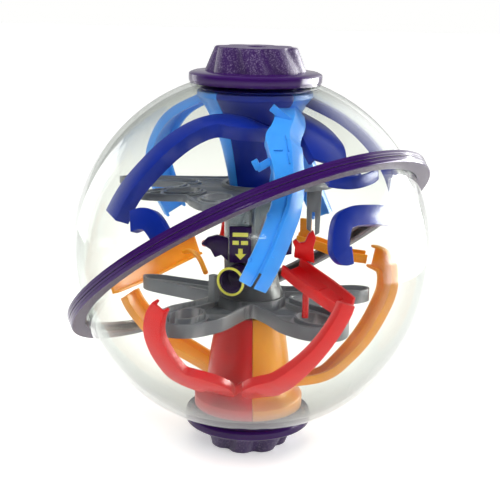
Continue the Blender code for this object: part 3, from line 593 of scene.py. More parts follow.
class Rail:
    """The run of a track over stations of (radius, azimuth, height, width).

    Each row has its own axes: along, side and lift. Lift points out to the shell where lean is 0, and
    upwards where lean is 1.
    """

    def __init__(self, stations, lean=0.0, steps=TRACK_STEPS):
        rows = catmull_rom([(*spot(r, a, z), width) for r, a, z, width in stations], steps)
        self.centres = [Vector(row[:3]) for row in rows]
        self.widths = [row[3] for row in rows]
        last = len(rows) - 1
        self.axes = []
        for i, centre in enumerate(self.centres):
            along = (self.centres[min(i + 1, last)] - self.centres[max(i - 1, 0)]).normalized()
            opening = centre.normalized().lerp(Vector((0, 0, 1)), lean)
            side = along.cross(opening).normalized()
            self.axes.append((along, side, side.cross(along).normalized()))

    def block(self, share, across, up, size):
        """A small block at a share of the run; across is in half widths, and size is along, across and up."""
        i = round(share * (len(self.centres) - 1))
        along, side, lift = self.axes[i]
        centre = self.centres[i] + side * (across * self.widths[i] / 2) + lift * up
        turn = Matrix((along, side, lift)).transposed().to_4x4()
        return brick("block", size, Matrix.Translation(centre) @ turn)


def brick(name, size, matrix):
    """A box with eased edges."""
    bm = bmesh.new()
    bmesh.ops.create_cube(bm, size=1.0)
    box = transformed(kept_mesh(name, bm), Matrix.Diagonal((*size, 1)))
    return transformed(eased(box, width=min(0.00035, min(size) * 0.3)), matrix)


def u_section(width, lip, inward, flare):
    """The outline of a U-shaped track as (across, up), round its walls and back along their inside."""
    half = width / 2 + TRACK_WALL
    if inward:
        outer, inner, edge = lip, lip - TRACK_WALL, 0.0
    else:
        outer, inner, edge = -TRACK_WALL, 0.0, lip
    left = -half - flare[0] * lip
    right = half + flare[1] * lip
    outside = ((left, edge), (-half, outer), (half, outer), (right, edge))
    inside = ((right - TRACK_WALL, edge), (half - TRACK_WALL, inner), (TRACK_WALL - half, inner))
    return (*outside, *inside, (left + TRACK_WALL, edge))


def channel(name, rail, lip=TRACK_LIP, inward=True, flare=(0.0, 0.0)):
    """A U-shaped track along a rail.

    Its open side faces the middle of the ball where inward is set, and the way the rail lifts otherwise.
    Flare leans the left and the right wall outwards, as a share of their height.
    """
    bm = bmesh.new()
    sections = []
    for centre, width, (_, side, out) in zip(rail.centres, rail.widths, rail.axes):
        section = u_section(width, lip, inward, flare)
        sections.append([bm.verts.new(centre + side * across + out * up) for across, up in section])
    count = len(sections[0])
    for first, second in zip(sections, sections[1:]):
        for k in range(count):
            bm.faces.new((first[k], first[(k + 1) % count], second[(k + 1) % count], second[k]))
    for end in (sections[0], sections[-1]):
        for k in range(count // 2 - 1):
            bm.faces.new((end[k], end[k + 1], end[count - 2 - k], end[count - 1 - k]))
    bmesh.ops.recalc_face_normals(bm, faces=bm.faces)
    return kept_mesh(name, bm)


def outline_solid(name, loops, low, high):
    """Flat closed loops of (x, y) filled between two heights; a loop inside another is a hole."""
    curve = bpy.data.curves.new(name, "CURVE")
    curve.dimensions = "2D"
    curve.fill_mode = "BOTH"
    curve.extrude = (high - low) / 2
    for loop in loops:
        spline = curve.splines.new("POLY")
        spline.points.add(len(loop) - 1)
        for point, (x, y) in zip(spline.points, loop):
            point.co = (x, y, 0, 1)
        spline.use_cyclic_u = True
    mesh = curve_mesh(name, curve)
    mesh.transform(Matrix.Translation((0, 0, (low + high) / 2)))
    bm = bmesh.new()
    bm.from_mesh(mesh)
    bmesh.ops.remove_doubles(bm, verts=bm.verts, dist=0.000001)
    bmesh.ops.recalc_face_normals(bm, faces=bm.faces)
    bpy.data.meshes.remove(mesh)
    return kept_mesh(name, bm)


def rod(name, stations, radius, steps=8):
    """A round wire over stations of (radius, azimuth, height)."""
    curve = bpy.data.curves.new(name, "CURVE")
    curve.dimensions = "3D"
    curve.bevel_depth = radius
    curve.bevel_resolution = 5
    curve.use_fill_caps = True
    rows = catmull_rom([spot(*station) for station in stations], steps)
    spline = curve.splines.new("POLY")
    spline.points.add(len(rows) - 1)
    for point, row in zip(spline.points, rows):
        point.co = (*row, 1)
    return smooth(place_mesh(name, curve_mesh(name, curve)), 50.0)


def finish_piece(obj, node_name, slot, look=None):
    """Lets a piece stand for its CAD node, in its slot's finish or another look, or in the looks it has."""
    if not obj.data.materials:
        obj.data.materials.append(MATERIALS[look or slot])
    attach(obj, BODY_OF[node_name])
    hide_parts(node_name)
    return obj


def several_looks(obj, looks, pick):
    """Gives each face the look whose number the pick makes."""
    for look in looks:
        obj.data.materials.append(MATERIALS[look])
    for face in obj.data.polygons:
        face.material_index = int(pick(face))
    return obj


# ---------------------------------------------------------------- casing


def shell_half(node_name, side):
    """A clear hemisphere with a flange at the clamp ring and a round hole at the pole of Z."""
    inner = SHELL_R - SHELL_WALL
    rows = 36
    start = math.degrees(math.asin(FLANGE_HIGH / SHELL_R))
    outside = arc(SHELL_R, 90, start, rows)
    inside = arc(inner, math.degrees(math.asin(FLANGE_LOW / inner)), 90, rows)
    profile = outside + [(FLANGE_R, FLANGE_HIGH), (FLANGE_R, FLANGE_LOW)] + inside
    profile[0] = (0, SHELL_R)
    profile[-1] = (0, inner)
    half = turned(node_name + "_clear", profile)
    foot, head = POLE_CUT
    hole = turned("hole", ((0, head), (POLE_HOLE_R, head), (POLE_HOLE_R, foot), (0, foot)))
    if side < 0:
        transformed(half, MIRRORED)
        transformed(hole, MIRRORED)
    transformed(half, RING_FRAME)
    smooth(boolean(half, hole))
    finish_piece(half, node_name, "clear_shell")


def ring_half(node_name, side):
    """Half of the clamp ring: a grooved outer wall and a lip that closes over the shell's flange."""
    lip_low = FLANGE_HIGH + GAP
    wall_in = FLANGE_R + 2 * GAP
    lip_in = SHELL_R + 2 * GAP
    profile = (
        (lip_in, RING_HALF),
        (RING_R - RING_CHAMFER, RING_HALF),
        (RING_R - RING_CHAMFER * 0.3, RING_HALF - RING_CHAMFER * 0.3),
        (RING_R, RING_HALF - RING_CHAMFER),
        (RING_R, GROOVE_PLACE + GROOVE),
        (RING_R - GROOVE, GROOVE_PLACE),
        (RING_R, GROOVE_PLACE - GROOVE),
        (RING_R, FLANGE_LOW + GROOVE),
        (RING_R - GROOVE, FLANGE_LOW),
        (wall_in, FLANGE_LOW),
        (wall_in, lip_low),
        (lip_in, lip_low),
    )
    half = turned(node_name + "_band", profile, steps=180)
    if side < 0:
        transformed(half, MIRRORED)
    transformed(half, RING_FRAME)
    smooth(half, 28.0)

    def ring_look(face):
        # Faces turned to the middle of the ball take the pale lilac: painted light on the shaded inside of
        # the ring
        if face.normal.dot(face.center) < -0.5 * face.center.length:
            return 2
        # Flat faces take the greyed grain look: real grain with a painted sheen
        return abs(face.normal.dot(RING_AXIS)) > 0.95

    several_looks(half, ("purple_gloss", "purple_grain_and_sheen", "lilac_painted_light"), ring_look)
    finish_piece(half, node_name, "purple_ring")


# ---------------------------------------------------------------- knobs and necks


def knob(node_name, side):
    """A fluted grip on a round flange, with a neck that passes through the shell."""
    under = SHELL_R + 2 * GAP
    rim_low = math.degrees(math.acos((KNOB_RIM_R - 0.0006) / under))
    neck_high = math.degrees(math.acos(KNOB_NECK_R / under))
    grip = []
    for i in range(KNOB_GRIP_ROWS + 1):
        t = i / KNOB_GRIP_ROWS
        radius = KNOB_FACE_R + (KNOB_FOOT_R - KNOB_FACE_R) * t
        grip.append((radius, KNOB_FACE_Z - KNOB_FILLET + (KNOB_FOOT_Z - KNOB_FACE_Z) * t))
    face_in = KNOB_HOLE_R + KNOB_FILLET
    face_width = KNOB_FACE_R - 0.0008 - face_in
    face_rows = [(face_in + face_width * i / 6, KNOB_FACE_Z) for i in range(7)]
    profile = [
        (0, KNOB_FACE_Z - KNOB_HOLE_DEPTH),
        (KNOB_HOLE_R, KNOB_FACE_Z - KNOB_HOLE_DEPTH),
        (KNOB_HOLE_R, KNOB_FACE_Z - KNOB_FILLET),
        *face_rows,
        *grip,
        *KNOB_SHOULDER,
        *KNOB_RIM,
        *arc(under, rim_low, neck_high, 6),
        (KNOB_NECK_R, KNOB_NECK_Z),
        (0, KNOB_NECK_Z),
    ]
    body = turned(node_name + "_grip", profile, steps=192)
    for vert in body.data.vertices:
        radius = math.hypot(vert.co.x, vert.co.y)
        if vert.co.z < KNOB_FOOT_Z - 0.0007 or radius < KNOB_HOLE_R + 0.001:
            continue
        height = (vert.co.z - KNOB_FOOT_Z) / (KNOB_FACE_Z - KNOB_FOOT_Z)
        reach = min(1.0, (radius - KNOB_HOLE_R) / (KNOB_FACE_R - KNOB_HOLE_R)) ** 6
        angle = math.atan2(vert.co.y, vert.co.x) + math.radians(LOBE_LEAN) * height
        valley = (0.5 - 0.5 * math.cos(LOBES * angle)) ** 2
        scale = 1 - LOBE_DEPTH * valley * reach / radius
        vert.co.x *= scale
        vert.co.y *= scale
    if side < 0:
        transformed(body, MIRRORED)
    smooth(body, 30.0)

    def sparked(face):
        return abs(face.center.z) > KNOB_FOOT_Z - 0.0008

    several_looks(body, ("purple_gloss", "purple_knob"), sparked)
    finish_piece(body, node_name, "purple_knob")


def neck_profile(steps_down, grow=0.0):
    """The closed section of a neck, or of the solid space it holds where grow is set."""
    outer = [(r + grow, z) for r, z in catmull_rom(steps_down, 6)]
    bottom = outer[-1][1]
    if grow:
        return [(0, COLLAR_TOP + 0.02), (outer[0][0], COLLAR_TOP + 0.02), *outer, (0, bottom)]
    inner = [(r - NECK_WALL, z) for r, z in catmull_rom(steps_down, 6)]
    bore = AXLE_R + 2 * GAP
    floor = bottom + NECK_WALL
    roof = COLLAR_TOP - NECK_WALL
    dome_edges = (COLLAR_BORE_R, outer[0][0])
    dome_angles = [math.degrees(math.acos(radius / COLLAR_DOME_R)) for radius in dome_edges]
    return [
        (NECK_MOUTH_R, COLLAR_TOP),
        (COLLAR_BORE_R, COLLAR_TOP),
        *arc(COLLAR_DOME_R, *dome_angles, 8),
        *outer,
        (bore, bottom),
        (bore, floor),
        (inner[-1][0], floor),
        *reversed(inner[1:-1]),
        (inner[0][0] - 0.001, roof),
        (NECK_MOUTH_R, roof),
    ]


def neck_moulding(node_name, side, steps_down, start, end, slot):
    half_gap = math.degrees(GAP / 2 / steps_down[0][0])
    body = turned(
        node_name + "_moulding",
        neck_profile(steps_down),
        start=start + half_gap,
        sweep=end - start - 2 * half_gap,
    )
    if side < 0:
        transformed(body, MIRRORED)
    eased(body, width=0.0003)
    finish_piece(body, node_name, slot)


# ---------------------------------------------------------------- tracks


def sunk(obj, steps_down, side):
    """Cuts a track's inner end off just inside the neck's wall, so that the two look grown together."""
    core = turned("core", neck_profile(steps_down, grow=-0.0007), steps=96)
    if side < 0:
        transformed(core, MIRRORED)
    return boolean(obj, core)


def bar(station, tilt, size):
    """A small bar that faces the front, tilted in its own plane by degrees."""
    turn = Matrix.Rotation(math.radians(tilt), 4, "Y")
    return brick("bar", size, Matrix.Translation(spot(*station)) @ turn)


def track(
    node_name, stations, slot,
    neck=None, lean=0.0, lip=TRACK_LIP, flare=(0.0, 0.0), blocks=(), cuts=(), bars=(),
):
    """One moulded track with the small tabs and rungs that stand on it and the slots cut into it.

    It opens inwards, or upwards where lean is more than a half.
    """
    rail = Rail(stations, lean)
    body = channel(node_name + "_body", rail, lip, inward=lean < 0.5, flare=flare)
    if neck:
        sunk(body, *neck)
    for cut in cuts:
        boolean(body, rail.block(*cut))
    eased(body)
    parts = [body] + [rail.block(*block) for block in blocks] + [bar(*place) for place in bars]
    finish_piece(joined(node_name + "_track", parts), node_name, slot)


UPPER = (UPPER_NECK, 1)
LOWER = (LOWER_NECK, -1)


def upper_tracks():
    stations = (
        (0.010, -60, 0.0610, 0.0080), (0.022, -76, 0.0655, 0.0080), (0.0335, -98, 0.0696, 0.0080),
        (0.0385, -118, 0.0712, 0.0080), (0.0494, -127, 0.0680, 0.0080), (0.0627, -132.5, 0.0594, 0.0080),
        (0.0744, -138, 0.0458, 0.0080), (0.0796, -140.4, 0.0370, 0.0082),
        (0.0830, -142.4, 0.0280, 0.0092),
    )
    track("arch_track", stations, "dark_blue", neck=UPPER, lip=ARCH_LIP)
    stations = (
        (0.0846, -133, 0.0285, 0.0080), (0.0838, -129, 0.0308, 0.0080), (0.0838, -125, 0.0305, 0.0080),
        (0.0852, -121, 0.0262, 0.0076), (0.0868, -117.5, 0.0200, 0.0068),
    )
    track("arch_branch", stations, "dark_blue")
    stations = (
        (0.024, -4, 0.0845, 0.010), (0.047, -8, 0.0735, 0.0055), (0.063, -15, 0.0620, 0.0045),
        (0.0755, -21, 0.0485, 0.0070), (0.0820, -24, 0.0365, 0.0120), (0.0848, -25, 0.0285, 0.0130),
    )
    track("beam_track", stations, "dark_blue", neck=UPPER)
    stations = (
        (0.017, -20, 0.0765, 0.013), (0.0317, -26, 0.0700, 0.018), (0.0408, -36, 0.0645, 0.024),
        (0.0475, -42, 0.0593, 0.022), (0.0527, -46, 0.0541, 0.017),
    )
    track("fan_panel", stations, "dark_blue", neck=UPPER)
    stations = (
        (0.0645, -55, 0.0500, 0.011), (0.0695, -48, 0.0490, 0.012), (0.0710, -40, 0.0500, 0.011),
        (0.0710, -33, 0.0515, 0.009),
    )
    track("bowl_track", stations, "dark_blue", lean=1.0)
    stations = (
        (0.0834, -32.5, 0.0310, 0.0073), (0.0822, -45, 0.0338, 0.0070), (0.0818, -53.5, 0.0348, 0.0070),
        (0.0824, -58.0, 0.0334, 0.0070), (0.0838, -60.0, 0.0300, 0.0068), (0.0855, -61.2, 0.0248, 0.0067),
        (0.0866, -61.4, 0.0204, 0.0067), (0.0872, -60.0, 0.0176, 0.0063), (0.0871, -57.4, 0.0176, 0.0056),
    )
    track("hook_track", stations, "dark_blue")
    track(
        "front_rail",
        (
            (0.022, -48, 0.0800, 0.0075), (0.0340, -64, 0.0765, 0.0070), (0.0451, -73.8, 0.0718, 0.0066),
            (0.0535, -78.0, 0.0684, 0.0090), (0.0601, -78.4, 0.0647, 0.0086),
            (0.0718, -78.7, 0.0523, 0.0060), (0.0784, -80.5, 0.0420, 0.0056),
            (0.0816, -82.6, 0.0349, 0.0056), (0.0854, -85.7, 0.0243, 0.0055),
            (0.0878, -89.1, 0.0133, 0.0054), (0.0886, -91.4, 0.0064, 0.0048),
        ),
        "light_blue",
        neck=UPPER,
        lip=RAIL_LIP,
        flare=(1.3, 0.0),
        blocks=(
            (0.42, 0.30, RAIL_LIP + 0.0004, (0.0010, 0.0045, 0.0010)),
            *(
                (0.36 + RIDGE_STEP * i, -0.92, RAIL_LIP + 0.0003, (0.0062, 0.0006, 0.0012))
                for i in range(RIDGE_BARS)
            ),
            (0.50, -1.75, RAIL_LIP * 0.60, (0.0009, 0.0030, 0.0022)),
            (0.69, 1.45, RAIL_LIP, (0.0020, 0.0016, 0.0016)),
            (0.83, -1.60, RAIL_LIP * 0.80, (0.0010, 0.0040, 0.0016)),
            (0.87, 1.45, RAIL_LIP, (0.0020, 0.0016, 0.0016)),
        ),
        cuts=((0.97, -1.35, RAIL_LIP * 0.7, (0.0120, 0.0016, 0.0120)),),
        bars=(
            ((0.0385, -70, 0.0815), 36, (0.0115, 0.0030, 0.0040)),
            ((0.0655, -85.5, 0.0600), -32, (0.0080, 0.0030, 0.0036)),
            ((0.0655, -88.8, 0.0600), 60, (0.0050, 0.0030, 0.0032)),
        ),
    )
    stations = (
        (0.022, 158, 0.0850, 0.013), (0.048, 148, 0.0730, 0.013), (0.067, 140, 0.0580, 0.013),
        (0.0810, 134, 0.0400, 0.013), (0.0875, 127, 0.0210, 0.013), (0.0895, 122, 0.0060, 0.011),
    )
    track("side_rail", stations, "light_blue", neck=UPPER)
    stations = (
        (0.022, 76, 0.0850, 0.013), (0.048, 73, 0.0730, 0.013), (0.067, 71, 0.0580, 0.013),
        (0.0815, 69, 0.0390, 0.012), (0.0875, 66, 0.0210, 0.011), (0.0895, 61, 0.0040, 0.010),
    )
    track("back_rail", stations, "light_blue", neck=UPPER)


def lower_tracks():
    stations = (
        (0.018, -116, -0.0700, 0.0110), (0.0420, -110, -0.0650, 0.0125),
        (0.0616, -105.8, -0.0556, 0.0137), (0.0726, -117.2, -0.0480, 0.0099),
        (0.0781, -120.2, -0.0409, 0.0093), (0.0828, -122.0, -0.0320, 0.0087),
        (0.0859, -122.6, -0.0233, 0.0075), (0.0878, -121.1, -0.0145, 0.0064),
        (0.0886, -118.8, -0.0085, 0.0052),
    )
    track("red_left_arm", stations, "red", neck=LOWER)
    stations = (
        (0.018, -70, -0.0700, 0.0115), (0.0420, -78, -0.0655, 0.0125), (0.0614, -85.5, -0.0559, 0.0137),
        (0.0698, -77.4, -0.0494, 0.0110), (0.0787, -71.0, -0.0383, 0.0076),
        (0.0837, -66.3, -0.0283, 0.0060), (0.0868, -62.7, -0.0187, 0.0054),
        (0.0884, -60.0, -0.0104, 0.0054), (0.0888, -58.9, -0.0057, 0.0050),
    )
    track("red_right_arm", stations, "red", neck=LOWER)
    stations = (
        (0.0834, -55.5, -0.0118, 0.0105), (0.0780, -56, -0.0100, 0.0115),
        (0.0680, -57.5, -0.0065, 0.0120), (0.0570, -60, -0.0028, 0.0120), (0.0460, -63, 0.0010, 0.0110),
    )
    rungs = [(share, 0.0, 0.0006, (0.0009, 0.0105, 0.0012)) for share in (0.30, 0.55)]
    track("red_ramp", stations, "red", lean=0.55, blocks=rungs)
    post = rod("red_post_wire", ((0.0575, -60, -0.0068), (0.0575, -60, -0.0225)), RED_POST_WIRE_R)
    finish_piece(post, "red_post", "red")
    crown = standing(outline_solid("red_crown_plate", [CROWN], 0, CROWN_THICKNESS), 0.0)
    transformed(crown, Matrix.Translation(CROWN_PLACE))
    finish_piece(eased(crown), "red_crown", "red")
    stations = ((0.0835, 111, -0.0150), (0.070, 110, -0.0120), (0.055, 109, -0.0040), (0.050, 108.5, 0.0080))
    finish_piece(rod("red_prong_wire", stations, RED_PRONG_WIRE_R), "red_prong", "red")
    stations = (
        (0.018, -16, -0.0720, 0.014), (0.041, 2, -0.0705, 0.013), (0.055, 12, -0.0640, 0.013),
        (0.068, 16, -0.0525, 0.014), (0.0785, 19, -0.0390, 0.014), (0.0840, 20, -0.0260, 0.014),
        (0.0862, 25, -0.0150, 0.012), (0.0862, 34, -0.0130, 0.011),
    )
    track("orange_arc", stations, "orange", neck=LOWER)
    stations = (
        (0.0838, 34, -0.0150, 0.009), (0.0730, 40, -0.0130, 0.009), (0.0640, 50, -0.0080, 0.009),
        (0.0580, 62, -0.0050, 0.008),
    )
    track("orange_crook", stations, "orange", lean=1.0, lip=0.004)
    prong_turn = Matrix.Rotation(math.radians(ORANGE_PRONG_PLACE[1]), 4, "Z")
    prong_at = Matrix.Translation(spot(*ORANGE_PRONG_PLACE)) @ prong_turn
    finish_piece(brick("orange_prong_plate", ORANGE_PRONG_SIZE, prong_at), "orange_prong", "orange")
    stations = (
        (0.018, 138, -0.0740, 0.013), (0.044, 139, -0.0690, 0.012), (0.062, 148, -0.0590, 0.012),
        (0.0745, 152, -0.0450, 0.012), (0.0798, 153, -0.0360, 0.012),
    )
    track("orange_left_arm", stations, "orange", neck=LOWER)
    stations = (
        (0.0838, 162, -0.0265, 0.012), (0.0840, 150, -0.0265, 0.013), (0.0845, 136, -0.0240, 0.014),
        (0.0850, 123, -0.0190, 0.014), (0.0855, 113, -0.0150, 0.012),
    )
    track("orange_left_band", stations, "orange")
    stations = ((0.0828, 121, -0.0190), (0.070, 122, -0.0160), (0.055, 125, -0.0165), (0.043, 129, -0.0222))
    finish_piece(rod("orange_hoop_wire", stations, ORANGE_HOOP_WIRE_R), "orange_hoop", "orange")


# ---------------------------------------------------------------- middle maze


def loop_of(points):
    """A smooth closed loop of (x, y) through points of (radius, azimuth)."""
    flat = [tuple(spot(radius, azimuth, 0))[:2] for radius, azimuth in points]
    return catmull_rom(flat, 6, closed=True)


def oval(radius, azimuth, along, across, count=36):
    """An ellipse with its middle at (radius, azimuth) and its first half-axis along that radius."""
    turn = Matrix.Rotation(math.radians(azimuth), 2)
    middle = Vector(tuple(spot(radius, azimuth, 0))[:2])
    angles = [2 * math.pi * i / count for i in range(count)]
    return np.array([middle + turn @ Vector((along * math.cos(a), across * math.sin(a))) for a in angles])


def inset(loop, distance):
    """The loop moved inwards along its own normals; it runs anticlockwise."""
    along = np.roll(loop, -1, axis=0) - np.roll(loop, 1, axis=0)
    along /= np.linalg.norm(along, axis=1)[:, None]
    return loop + distance * np.stack([-along[:, 1], along[:, 0]], axis=1)


def band(name, outer, inner, low, high):
    """A low closed wall between two loops with the same number of points."""
    bm = bmesh.new()
    rings = [
        [bm.verts.new((x, y, z)) for x, y in loop]
        for loop, z in ((outer, low), (outer, high), (inner, high), (inner, low))
    ]
    for ring, following in zip(rings, rings[1:] + rings[:1]):
        for i in range(len(outer)):
            bm.faces.new((ring[i - 1], ring[i], following[i], following[i - 1]))
    bmesh.ops.recalc_face_normals(bm, faces=bm.faces)
    return kept_mesh(name, bm)


def track_wheel(node_name, outline, holes, hub_r, bore_r, low, high, slot_at=None):
    """A flower-shaped tray: its stepped lanes run between a rim, the holes' rims and the hub.

    Where slot_at is set, the tip of one lobe is cut open there, at a (radius, azimuth).
    """
    edge = loop_of(outline)
    hub = oval(0, 0, hub_r, hub_r, 48)
    bore = oval(0, 0, bore_r, bore_r, 48)
    rims, wide_rims = (
        [oval(r, a, along + margin, across + margin) for r, a, along, across in holes]
        for margin in (WHEEL_RIM, WHEEL_LANE)
    )
    floor = low + WHEEL_FLOOR
    step = floor + WHEEL_STEP * (high - floor)
    tray = outline_solid(node_name + "_tray", [edge, bore, *(oval(*hole) for hole in holes)], low, high)
    boolean(tray, outline_solid("pocket", [inset(edge, WHEEL_RIM), hub, *rims], floor, high + 0.001))
    foot = low + WHEEL_FLOOR / 2
    steps = [band("step", inset(edge, WHEEL_RIM / 2), inset(edge, WHEEL_LANE), foot, step)]
    for rim, wide_rim in zip(rims, wide_rims):
        steps.append(band("step", wide_rim, rim, foot, step))
    if slot_at:
        turn = Matrix.Rotation(math.radians(slot_at[1]), 4, "Z")
        for part in (tray, steps[0]):
            boolean(part, brick("slot", TIP_SLOT, Matrix.Translation(spot(*slot_at, low)) @ turn))
    finish_piece(joined(node_name + "_lanes", [eased(tray, width=0.00025), *steps]), node_name, "grey")


def wheels():
    track_wheel(
        "lower_wheel",
        (
            (0.024, -10), (0.044, 4), (0.063, 8), (0.0715, 14), (0.065, 20), (0.046, 24), (0.026, 40),
            (0.0215, 85), (0.026, 128), (0.046, 142), (0.066, 147), (0.0725, 152), (0.066, 157),
            (0.046, 162), (0.025, 174), (0.0225, -165), (0.033, -152), (0.052, -147), (0.067, -139),
            (0.0735, -128), (0.068, -117), (0.051, -107), (0.032, -99), (0.0240, -88), (0.034, -76),
            (0.052, -71), (0.068, -63), (0.0755, -52), (0.069, -41), (0.051, -33), (0.032, -27),
        ),
        ((0.0535, -129, 0.0105, 0.0072), (0.0560, -53, 0.0110, 0.0075)),
        hub_r=0.0195,
        bore_r=0.0060,
        low=LOWER_WHEEL_LOW,
        high=LOWER_WHEEL_HIGH,
        slot_at=(0.0720, -128.5),
    )
    track_wheel(
        "upper_wheel",
        (
            (0.024, -20), (0.036, -2), (0.046, 12), (0.038, 26), (0.025, 48), (0.030, 66), (0.048, 76),
            (0.055, 84), (0.048, 93), (0.030, 104), (0.024, 128), (0.034, 150), (0.052, 162),
            (0.068, 167), (0.0760, 172), (0.068, 177), (0.048, -178), (0.038, -168), (0.050, -157),
            (0.063, -153), (0.0690, -147), (0.061, -139), (0.054, -131), (0.060, -122), (0.0670, -112),
            (0.060, -103), (0.044, -96), (0.029, -84), (0.0225, -52),
        ),
        ((0.0450, -145, 0.0100, 0.0060), (0.0460, -113, 0.0100, 0.0070), (0.0480, 172, 0.0160, 0.0035)),
        hub_r=0.0175,
        bore_r=0.0152,
        low=UPPER_WHEEL_LOW,
        high=UPPER_WHEEL_HIGH,
    )


def target():
    """The finish cup with its bright rim, set level on the front of the hub."""
    facing = Matrix.Rotation(math.radians(CUP_AZIMUTH), 4, "Z") @ Matrix.Rotation(math.radians(90), 4, "Y")
    seat = Matrix.Translation(spot(CUP_REACH, CUP_AZIMUTH, CUP_HEIGHT)) @ facing
    bore = ((0, CUP_FLOOR), (CUP_BORE_R, CUP_FLOOR), (CUP_BORE_R, CUP_LENGTH))
    profile = (*bore, (CUP_R, CUP_LENGTH), (CUP_R, 0), (0, 0))
    cup = transformed(eased(turned("target_cup_bowl", profile, steps=72)), seat)
    finish_piece(cup, "target_cup", "purple_label")
    low = CUP_LENGTH + GAP
    high = low + TARGET_RIM_H
    profile = ((TARGET_BORE_R, high), (TARGET_RIM_R, high), (TARGET_RIM_R, low), (TARGET_BORE_R, low))
    rim = transformed(eased(turned("target_rim_hoop", profile, steps=72)), seat)
    finish_piece(rim, "target_rim", "yellow")


def standing(obj, front_y):
    """Stands a flat outline up, so that its y becomes height and it faces the front."""
    upright = Matrix.Rotation(math.radians(90), 4, "X")
    return transformed(obj, Matrix.Translation((0, front_y, 0)) @ upright)


def middle_maze():
    bore = AXLE_R + 2 * GAP
    dome = turned(
        "smoky_dome_wall",
        (
            (DOME_R - DOME_WALL, DOME_TOP), (DOME_R, DOME_TOP),
            (DOME_R, HUB_TOP + GAP), (DOME_R - DOME_WALL, HUB_TOP + GAP),
        ),
    )
    finish_piece(eased(dome), "smoky_dome", "smoke")
    foot = LOWER_WHEEL_HIGH + GAP
    hub = turned(
        "middle_hub_cone",
        ((bore, HUB_TOP), (DOME_R, HUB_TOP), *HUB_WAIST, (HUB_FOOT_R, foot), (bore, foot)),
    )
    finish_piece(eased(hub), "middle_hub", "grey", "dark_grey")
    wheels()
    target()
    plate = outline_solid("label_plate_face", [LABEL_PLATE], 0, PLATE_THICKNESS)
    finish_piece(eased(standing(plate, PLATE_FRONT_Y)), "label_plate", "purple_label")
    outlines = [
        ((left, low), (left + wide, low), (left + wide, low + tall), (left, low + tall))
        for left, low, wide, tall in LABEL_BARS
    ]
    marks = [outline_solid("mark", [outline], 0, INK) for outline in (*outlines, LABEL_ARROW)]
    printed = standing(joined("label_marks", marks), INK_FRONT_Y)
    printed.data.materials.append(MATERIALS["yellow"])
    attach(printed, "middle_maze")
    wings = (("left", LEFT_WING, LEFT_WING_FRONT_Y), ("right", RIGHT_WING, RIGHT_WING_FRONT_Y))
    for side, outline, front_y in wings:
        wing = outline_solid(side + "_wing_plate", [outline], 0, WING_THICKNESS)
        finish_piece(eased(standing(wing, front_y)), side + "_wing", "purple_label")
    post_turn = Matrix.Rotation(math.radians(HUB_POST_PLACE[1]), 4, "Z")
    post_at = Matrix.Translation(spot(*HUB_POST_PLACE, foot + HUB_POST_SIZE[2] / 2)) @ post_turn
    finish_piece(brick("hub_post_pillar", HUB_POST_SIZE, post_at), "hub_post", "grey")
    prong = standing(outline_solid("hanging_fork_blade", [HANGING_FORK], 0, WING_THICKNESS), 0.0)
    transformed(prong, Matrix.Translation(HANGING_FORK_PLACE))
    finish_piece(eased(prong), "hanging_fork", "grey")


# ---------------------------------------------------------------- small parts kept from the CAD


def carried_over():
    """CAD parts whose shape is right get their finish by name."""
    finishes = {
        "screw_steel": [n for n in frame["nodes"] if "screw" in n or "nut" in n or n == "axle"],
        "dark_blue": ["upper_glide_ring"],
        "purple_label": ["lower_glide_ring"],
        "ball_steel": ["steel_ball"],
    }
    for slot, nodes in finishes.items():
        for name in nodes:
            obj = frame["nodes"][name]
            obj.data.materials.clear()
            obj.data.materials.append(MATERIALS[slot])


# ---------------------------------------------------------------- studio


def studio_floor():
    """A wide sheet of paper under the lower knob."""
    low = CAD_BOUNDS[0].z
    bm = bmesh.new()
    bmesh.ops.create_grid(bm, x_segments=24, y_segments=24, size=FLOOR_HALF)
    mesh = bpy.data.meshes.new("studio_floor")
    bm.to_mesh(mesh)
    bm.free()
    mesh.transform(Matrix.Translation((0, 0, low)))
    mesh.materials.append(floor_paper("studio_paper"))
    place_mesh("studio_floor", mesh)


def softbox(name, direction, distance, size, power):
    """A large rectangular lamp that faces the ball."""
    lamp = bpy.data.lights.new(name, "AREA")
    lamp.shape = "RECTANGLE"
    lamp.size, lamp.size_y = size
    lamp.energy = power
    obj = bpy.data.objects.new(name, lamp)
    bpy.context.scene.collection.objects.link(obj)
    place = Vector(direction).normalized() * distance
    obj.matrix_world = Matrix.Translation(place) @ place.to_track_quat("Z", "Y").to_matrix().to_4x4()
    return obj


def lobe(tree, way, direction, wide, narrow, strength):
    """Light round one direction of the tent, full inside the narrow angle and gone past the wide one."""
    aim = Vector(direction).normalized()
    dot = node(tree, "ShaderNodeVectorMath", {0: way, 1: aim}, operation="DOT_PRODUCT").outputs["Value"]
    edges = (math.cos(math.radians(wide)), math.cos(math.radians(narrow)))
    return mapped(tree, dot, edges, (0.0, strength), interpolation_type="SMOOTHERSTEP")


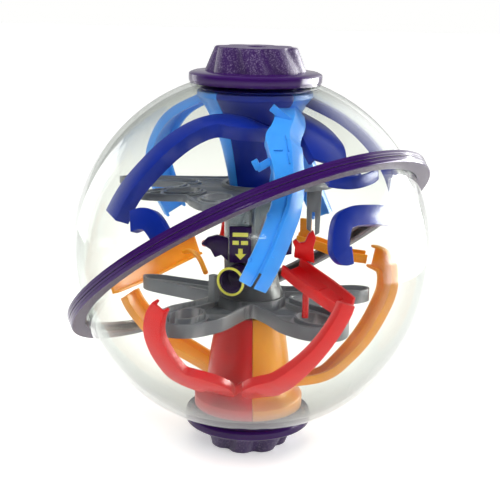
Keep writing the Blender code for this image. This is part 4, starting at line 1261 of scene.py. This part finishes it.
def world_light():
    """A white tent: plain white to look at, and brighter at its sides, roof and back than by the camera."""
    world = bpy.data.worlds.new("tent")
    bpy.context.scene.world = world
    world.use_nodes = True
    tree = world.node_tree
    background = tree.nodes["Background"]
    way = node(tree, "ShaderNodeTexCoord").outputs["Generated"]
    split = node(tree, "ShaderNodeSeparateXYZ", {"Vector": way})
    total = mapped(tree, split.outputs["Y"], TENT_DEPTH, TENT_STRENGTH)
    for direction, wide, narrow, strength in TENT_LOBES:
        add = {0: total, 1: lobe(tree, way, direction, wide, narrow, strength)}
        total = node(tree, "ShaderNodeMath", add, operation="ADD").outputs["Value"]
    seen = node(tree, "ShaderNodeLightPath").outputs["Is Camera Ray"]
    strength = node(tree, "ShaderNodeMix", {"Factor": seen, "A": total, "B": 1.0}, data_type="FLOAT")
    background.inputs["Color"].default_value = (1.0, 1.0, 0.99, 1)
    tree.links.new(strength.outputs["Result"], background.inputs["Strength"])


def studio():
    world_light()
    studio_floor()
    for name, direction, size, power in FILLS:
        softbox(name, direction, FILL_DISTANCE, size, power).visible_glossy = False
    for glint in GLINTS:
        softbox(*glint).visible_diffuse = False


def camera():
    lens = bpy.data.cameras.new("camera")
    lens.sensor_width = CAMERA_SENSOR
    lens.lens = CAMERA_LENS
    lens.shift_x, lens.shift_y = CAMERA_SHIFT
    lens.clip_start = 0.01
    lens.clip_end = 20.0
    obj = bpy.data.objects.new("camera", lens)
    bpy.context.scene.collection.objects.link(obj)
    tilt = math.radians(CAMERA_ELEVATION)
    ahead = Vector((0, math.cos(tilt), -math.sin(tilt)))
    turn = ahead.to_track_quat("-Z", "Y").to_matrix().to_4x4()
    roll = Matrix.Rotation(math.radians(CAMERA_ROLL), 4, "Z")
    obj.matrix_world = Matrix.Translation(-ahead * CAMERA_DISTANCE) @ turn @ roll
    bpy.context.scene.camera = obj


def build():
    for node_name, side in (("upper_shell", 1), ("lower_shell", -1)):
        shell_half(node_name, side)
    for node_name, side in (("upper_ring", 1), ("lower_ring", -1)):
        ring_half(node_name, side)
    for node_name, side in (("top_knob", 1), ("bottom_knob", -1)):
        knob(node_name, side)
    front = -90.0
    panel = (front - PANEL_HALF_ANGLE, front + PANEL_HALF_ANGLE)
    neck_moulding("dark_blue_neck", 1, UPPER_NECK, *panel, "dark_blue")
    neck_moulding("light_blue_neck", 1, UPPER_NECK, panel[1], panel[0] + 360, "light_blue")
    seam = RED_SEAM_AZIMUTH
    neck_moulding("orange_neck", -1, LOWER_NECK, seam, seam + 180, "orange")
    neck_moulding("red_neck", -1, LOWER_NECK, seam + 180, seam + 360, "red")
    upper_tracks()
    lower_tracks()
    middle_maze()
    carried_over()


build()
studio()
camera()
bpy.context.scene.view_settings.view_transform = "Standard"
bpy.context.scene.cycles.transparent_max_bounces = 24
bpy.context.view_layer.update()
